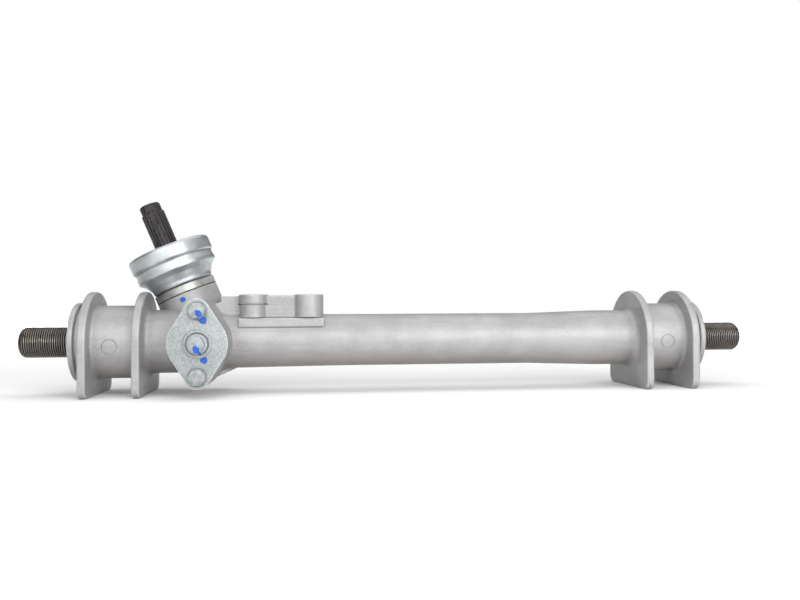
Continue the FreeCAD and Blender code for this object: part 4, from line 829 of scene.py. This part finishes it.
def hole_cutters(bm):
    """Bracket holes, the lines of shelf and lip, and the rings that ejector pins left on the seats."""
    for boss in (LEFT_BOSS, RIGHT_BOSS):
        hole = circle(boss, BRACKET_HOLE_RADIUS, 45)
        prism(bm, hole, LEVEL_FRAME, BRACKET_HOLE_FOOT, BRACKET_HOLE_CUT_TOP)
    prism(bm, box_outline(*SHELF_LINE_BOX), LEVEL_FRAME, SHELF_LINE_FOOT, SHELF_LINE_TOP)
    boss_frame = axes_matrix(Vector((*LEFT_BOSS, 0)), ALONG, REARWARD, UPWARD)
    lathe(bm, box_outline(LIP_LINE_INNER, LIP_LINE_OUTER, LIP_LINE_FOOT, LIP_LINE_TOP), boss_frame, 96)
    ring = box_outline(EJECTOR_INNER, EJECTOR_OUTER, EJECTOR_DEPTH, EJECTOR_REACH)
    for x in EJECTOR_PLACES:
        lathe(bm, ring, axes_matrix(Vector((x, 0, EJECTOR_HEIGHT)), ALONG, UPWARD, FORWARD), 48)


def cut(piece, build):
    """Takes the shape that build(bm) makes out of a piece."""
    cutter = mesh_object("cutter", build)
    modifier = piece.modifiers.new("cut", "BOOLEAN")
    modifier.operation = "DIFFERENCE"
    modifier.solver = "MANIFOLD"
    modifier.object = cutter
    applied(piece)
    bpy.data.objects.remove(cutter)


def make_housing():
    housing = mesh_object("gear_housing", casting)
    remesh = housing.modifiers.new("remesh", "REMESH")
    remesh.mode = "VOXEL"
    remesh.voxel_size = 0.6 * MM
    smooth = housing.modifiers.new("smooth", "SMOOTH")
    smooth.factor = 0.5
    smooth.iterations = 4
    applied(housing)
    for build in (rack_bore_cutter, yoke_cutter, pinion_cutter, hole_cutters):
        cut(housing, build)
    shade(housing, 50)
    dress(housing, "gearbox", "cast_aluminium", MATERIALS["cast_aluminium"], "housing")


# Rack

THREAD_PITCH = 1.5
THREAD_RADIUS = 11
THREAD_DEPTH = 0.92
THREAD_START = 233.5
THREAD_ROUNDING = 5
THREAD_SAMPLES = 10
THREAD_RUN_IN = 1.2
THREAD_FLANK = 1.25
CENTRE_HOLE_SHARE = 0.3
CENTRE_HOLE_DEPTH = 2.5


def thread_radius(x, angle, end):
    """Radius of the thread's surface, flattened at its start and rounded off at the bar's end."""
    phase = (x / THREAD_PITCH - angle / (2 * math.pi)) % 1
    groove = min(1, abs(2 * phase - 1) * THREAD_FLANK)
    depth = THREAD_DEPTH * (1 - groove)
    depth *= min(1, max(0, (x - THREAD_START) / THREAD_RUN_IN))
    radius = THREAD_RADIUS - depth
    left = end - x
    if left < THREAD_ROUNDING:
        drop = THREAD_ROUNDING - math.sqrt(max(0, THREAD_ROUNDING ** 2 - (THREAD_ROUNDING - left) ** 2))
        radius = min(radius, THREAD_RADIUS - drop)
    return radius


def threaded_end(sign):
    """Builder of one threaded end with its centre hole, on the side that the sign names."""
    steps = 72
    end = RACK_HIGH.x
    count = int((end - THREAD_START) / THREAD_PITCH * THREAD_SAMPLES)
    places = [THREAD_START + (end - THREAD_START) * index / count for index in range(count + 1)]

    def build(bm):
        rings = []
        for x in places:
            ring = []
            for step in range(steps):
                angle = 2 * math.pi * step / steps
                radius = thread_radius(x, sign * angle, end)
                ring.append(bm.verts.new((sign * x, radius * math.cos(angle), radius * math.sin(angle))))
            rings.append(ring)
        for ring, following in zip(rings, rings[1:]):
            for step in range(steps):
                after = (step + 1) % steps
                bm.faces.new((ring[step], ring[after], following[after], following[step]))
        bm.faces.new(rings[0])
        face_ring = []
        for vertex in rings[-1]:
            across, up = vertex.co.y * CENTRE_HOLE_SHARE, vertex.co.z * CENTRE_HOLE_SHARE
            face_ring.append(bm.verts.new((sign * end, across, up)))
        tip = bm.verts.new((sign * (end - CENTRE_HOLE_DEPTH), 0, 0))
        for step in range(steps):
            after = (step + 1) % steps
            bm.faces.new((rings[-1][step], rings[-1][after], face_ring[after], face_ring[step]))
            bm.faces.new((face_ring[step], face_ring[after], tip))

    return build


def take_solid(bm, node):
    """Fills bm with a solid's mesh in millimetres, its shared corners welded."""
    bm.from_mesh(NODES[node].data)
    bmesh.ops.scale(bm, vec=(1 / MM, 1 / MM, 1 / MM), verts=bm.verts)
    bmesh.ops.remove_doubles(bm, verts=bm.verts, dist=1e-3)


def make_rack():
    """The toothed bar cut off at its threads, and the two threaded ends."""
    def build(bm):
        take_solid(bm, "rack")
        for sign in (-1, 1):
            cut_place = (sign * THREAD_START, 0, 0)
            everything = bm.verts[:] + bm.edges[:] + bm.faces[:]
            bmesh.ops.bisect_plane(
                bm, geom=everything, plane_co=cut_place, plane_no=(sign, 0, 0), clear_outer=True)
            rim = [edge for edge in bm.edges if edge.is_boundary]
            bmesh.ops.holes_fill(bm, edges=rim)

    bar = mesh_object("rack_bar", build)
    shade(bar, 35)
    dress(bar, "rack", "rack_steel", MATERIALS["rack_steel"], "rack")
    for name, sign in (("rack_thread_left", -1), ("rack_thread_right", 1)):
        thread = mesh_object(name, threaded_end(sign))
        shade(thread, 60)
        dress(thread, "rack", "rack_steel", MATERIALS["rack_steel"])


# Pieces refined from their solids

def refined(node, name, body, slot, rounding, angle=35, segments=3):
    """A welded copy of a solid's mesh with its edges rounded."""
    def build(bm):
        take_solid(bm, node)
        bmesh.ops.dissolve_limit(bm, angle_limit=math.radians(0.5), verts=bm.verts, edges=bm.edges)

    piece = mesh_object(name, build)
    bevel = piece.modifiers.new("rounding", "BEVEL")
    bevel.width = rounding * MM
    bevel.segments = segments
    bevel.limit_method = "ANGLE"
    bevel.angle_limit = math.radians(angle)
    bevel.use_clamp_overlap = True
    applied(piece)
    shade(piece, 30)
    return dress(piece, body, slot, MATERIALS[slot], node)


# Cup

def cup_profile():
    """(radius, height) of the pressed cup: outside up to the rolled rim, then back down inside."""
    outside = [
        (CUP_HOLE_RADIUS, CUP_FLOOR, 0),
        (CUP_BASE_RADIUS, CUP_FLOOR, 2.2),
        (CUP_NECK_RADIUS, 47.5, 3),
        (CUP_SHOULDER_RADIUS, 52.5, 4),
        (CUP_BELLY_RADIUS, 55.8, 1.6),
        (CUP_BELLY_RADIUS, 58.2, 1.6),
        (28.9, 62.4, 2),
        (CUP_RIM_RADIUS, 64.4, 2.4),
        (CUP_RIM_RADIUS, CUP_TOP, 5.2),
    ]
    inside = [
        (CUP_LIP_RADIUS, CUP_TOP, 0.5),
        (CUP_LIP_RADIUS, CUP_TOP - 1.4, 0.5),
        (CUP_RIM_RADIUS - CUP_WALL, CUP_TOP - 1.6, 4.0),
        (CUP_RIM_RADIUS - CUP_WALL, 65.2, 1.2),
        (28.7 - CUP_WALL, CUP_WAIST_LINE, 3),
        (CUP_BELLY_RADIUS - CUP_WALL, 58.4, 1),
        (CUP_BELLY_RADIUS - CUP_WALL, 56.4, 1),
        (CUP_SHOULDER_RADIUS - CUP_WALL, 53.0, 4),
        (CUP_NECK_RADIUS - CUP_WALL, 47.8, 3),
        (CUP_BASE_RADIUS - CUP_WALL, CUP_FLOOR + CUP_WALL, 1.5),
        (CUP_HOLE_RADIUS, CUP_FLOOR + CUP_WALL, 0),
    ]
    return filleted(outside + inside, steps=8)


def make_cup():
    cup = mesh_object("pressed_cup", lambda bm: lathe(bm, cup_profile(), PINION_FRAME, 160))
    shade(cup, 50)
    dress(cup, "gearbox", "zinc_steel", MATERIALS["zinc_steel"], "column_cup")


# Paint dabs

DAB_HEIGHT = 0.16
DAB_SINK = 0.05
DAB_RAGGEDNESS = 0.28
DAB_WAVINESS = 1.3


def dab(name, centre, across, up, size, stretch, body, seed):
    """A thin blot of paint in the plane of two directions, thickest in the middle."""
    centre, across, up = Vector(centre), Vector(across).normalized(), Vector(up).normalized()
    out = across.cross(up)
    if out.y > 0:
        out = -out
    rings, steps = 5, 28

    def build(bm):
        middle = bm.verts.new(centre + out * DAB_HEIGHT)
        last = None
        for ring_index in range(1, rings + 1):
            share = ring_index / rings
            ring = []
            for step in range(steps):
                angle = 2 * math.pi * step / steps
                place = Vector((math.cos(angle) * DAB_WAVINESS, math.sin(angle) * DAB_WAVINESS, seed))
                ragged = 1 + DAB_RAGGEDNESS * noise.noise(place)
                spread = across * (math.cos(angle) * size * stretch) + up * (math.sin(angle) * size)
                height = DAB_HEIGHT * (1 - share ** 3) - (DAB_SINK if ring_index == rings else 0)
                ring.append(bm.verts.new(centre + spread * (ragged * share) + out * height))
            for step in range(steps):
                after = (step + 1) % steps
                if last:
                    bm.faces.new((last[step], last[after], ring[after], ring[step]))
                else:
                    bm.faces.new((middle, ring[step], ring[after]))
            last = ring
        bm.faces.new(last)

    blot = mesh_object(name, build)
    shade(blot, 70)
    blot.data.materials.append(PAINT)
    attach(blot, body)


def make_dabs():
    """Dabs on the upper bolt, beside it, on the adjuster and its disc, on the plate and on the tower."""
    right, upward = (1, 0, 0), (0, 0, 1)
    plate = -COVER_FACE
    slope = (0.55, 0, -0.84)
    side = (0.84, 0, 0.55)
    dab("paint_bolt_head", (-139.9, BOLTS_LOW.y, 20.6), slope, side, 2.2, 1.4, "gearbox", 1.0)
    dab("paint_by_bolt", (-137.6, BOLTS_LOW.y + 4.2, 16.2), slope, side, 2.3, 1.2, "gearbox", 2.3)
    dab("paint_adjuster", (-141.0, ADJUSTER_LOW.y, -3.2), slope, side, 2.1, 1.5, "adjuster", 3.1)
    dab("paint_adjuster_disc", (-139.6, ADJUSTER_LOW.y + 6.5, -6.2), slope, side, 0.9, 1.6, "adjuster", 4.2)
    dab("paint_plate", (-137.0, plate, -11.0), slope, side, 2.4, 1.3, "gearbox", 5.7)
    dab("paint_tower", (-157.8, -4.7, 30.6), right, upward, 1.8, 1.25, "gearbox", 6.4)


# Stage, light and camera

FLOOR_GAP = 0.02
FLOOR_SIDE = 2400
FLOOR_FRONT = -950
FLOOR_BACK = 2600


def make_stage():
    """A plain pale floor just under the flange feet."""
    material = bpy.data.materials.new("studio_floor")
    material.use_nodes = True
    tree = material.node_tree
    shader = tree.nodes["Principled BSDF"]
    shader.inputs["Roughness"].default_value = 0.9
    shader.inputs["Specular IOR Level"].default_value = 0.1
    place = add(tree, "TexCoord").outputs["Object"]
    cloud = noise_at(tree, place, 3, 2, 0.5)
    tree.links.new(mixed(tree, cloud, (0.93, 0.93, 0.93), (0.95, 0.95, 0.95)), shader.inputs["Base Color"])
    floor_height = HOUSING_LOW.z - FLOOR_GAP

    def build(bm):
        corners = box_outline(-FLOOR_SIDE, FLOOR_SIDE, FLOOR_FRONT, FLOOR_BACK)
        bm.faces.new([bm.verts.new((x, y, floor_height)) for x, y in corners])

    paper = mesh_object("studio_floor", build)
    paper.data.materials.append(material)


def area_light(name, place, target, width, height, power, spread=180):
    light = bpy.data.lights.new(name, "AREA")
    light.shape = "RECTANGLE"
    light.size = width
    light.size_y = height
    light.energy = power
    light.spread = math.radians(spread)
    lamp = bpy.data.objects.new(name, light)
    bpy.context.scene.collection.objects.link(lamp)
    lamp.location = place
    lamp.rotation_euler = (Vector(target) - Vector(place)).to_track_quat("-Z", "Y").to_euler()


def make_world():
    """White behind the gear, and dim all round for what the gear reflects."""
    world = bpy.data.worlds.new("studio")
    bpy.context.scene.world = world
    world.use_nodes = True
    tree = world.node_tree
    background = tree.nodes["Background"]
    path = add(tree, "LightPath")
    coords = add(tree, "TexCoord")
    split = add(tree, "SeparateXYZ")
    tree.links.new(coords.outputs["Generated"], split.inputs[0])
    forward = ramp(tree, split.outputs["Y"], -0.9, 0.3, 0.42, 0.14)
    upward = ramp(tree, split.outputs["Z"], -0.2, 0.9, 0.0, 0.20)
    glow = math_node(tree, "ADD", forward, upward)
    level = add(tree, "Mix", data_type="FLOAT")
    tree.links.new(path.outputs["Is Camera Ray"], level.inputs[0])
    tree.links.new(glow, level.inputs[2])
    level.inputs[3].default_value = 1
    tree.links.new(level.outputs[0], background.inputs["Strength"])
    background.inputs["Color"].default_value = (1, 1, 1, 1)


def make_light():
    make_world()
    area_light("key", (-0.12, -1.15, 0.55), (-0.02, 0, 0.01), 2.0, 1.0, 14)
    area_light("top", (0.0, 0.15, 1.2), (0, 0.05, 0), 2.0, 1.0, 9)
    area_light("right", (0.6, -1.1, 0.35), (0.15, 0, 0.01), 0.5, 0.35, 6)
    area_light("far_floor", (0, 1.6, 0.8), (0, 1.6, 0), 5.0, 1.6, 60, 100)


# Camera that sees the gear as the photograph does: place in metres, angles in radians
CAMERA_PLACE = (-0.06534, -0.57783, 0.02559)
CAMERA_YAW = -0.11637
CAMERA_PITCH = 0.00698
CAMERA_ROLL = 0.00448
FOCAL_PIXELS = 766.155
PICTURE_WIDTH = 800
SENSOR_WIDTH = 36


def make_camera():
    data = bpy.data.cameras.new("photo_camera")
    data.sensor_width = SENSOR_WIDTH
    data.lens = FOCAL_PIXELS / PICTURE_WIDTH * SENSOR_WIDTH
    data.clip_start, data.clip_end = 0.01, 20
    camera = bpy.data.objects.new("photo_camera", data)
    bpy.context.scene.collection.objects.link(camera)
    turn = Matrix.Rotation(CAMERA_YAW, 4, "Z") @ Matrix.Rotation(CAMERA_PITCH, 4, "X")
    turn = turn @ Matrix.Rotation(CAMERA_ROLL, 4, "Y") @ Matrix.Rotation(math.pi / 2, 4, "X")
    camera.matrix_world = Matrix.Translation(CAMERA_PLACE) @ turn
    bpy.context.scene.camera = camera
    bpy.context.scene.view_settings.view_transform = "Standard"


def dress_solids():
    """Every solid that keeps its own mesh gets the material of its slot."""
    for part in frame["record"]["subparts"]:
        mesh = NODES[part["node"]].data
        mesh.materials.clear()
        mesh.materials.append(MATERIALS[part["material_slot"]])


make_camera()
make_light()
make_stage()
dress_solids()
make_housing()
make_rack()
make_cup()
refined("pinion_shaft", "splined_shaft", "pinion", "phosphated_steel", 0.18, 30, 2)
refined("pinion_retainer", "retainer_plate", "gearbox", "machined_aluminium", 0.35)
refined("yoke_cover", "cover_plate", "gearbox", "cover_metal", 1.2)
refined("yoke_adjuster", "adjuster_plug", "adjuster", "adjuster_steel", 0.35)
refined("yoke_cover_bolts", "cover_bolt_pair", "gearbox", "bolt_steel", 0.4)
refined("cup_screws", "cup_screw_pair", "gearbox", "screw_steel", 0.25)
make_dabs()
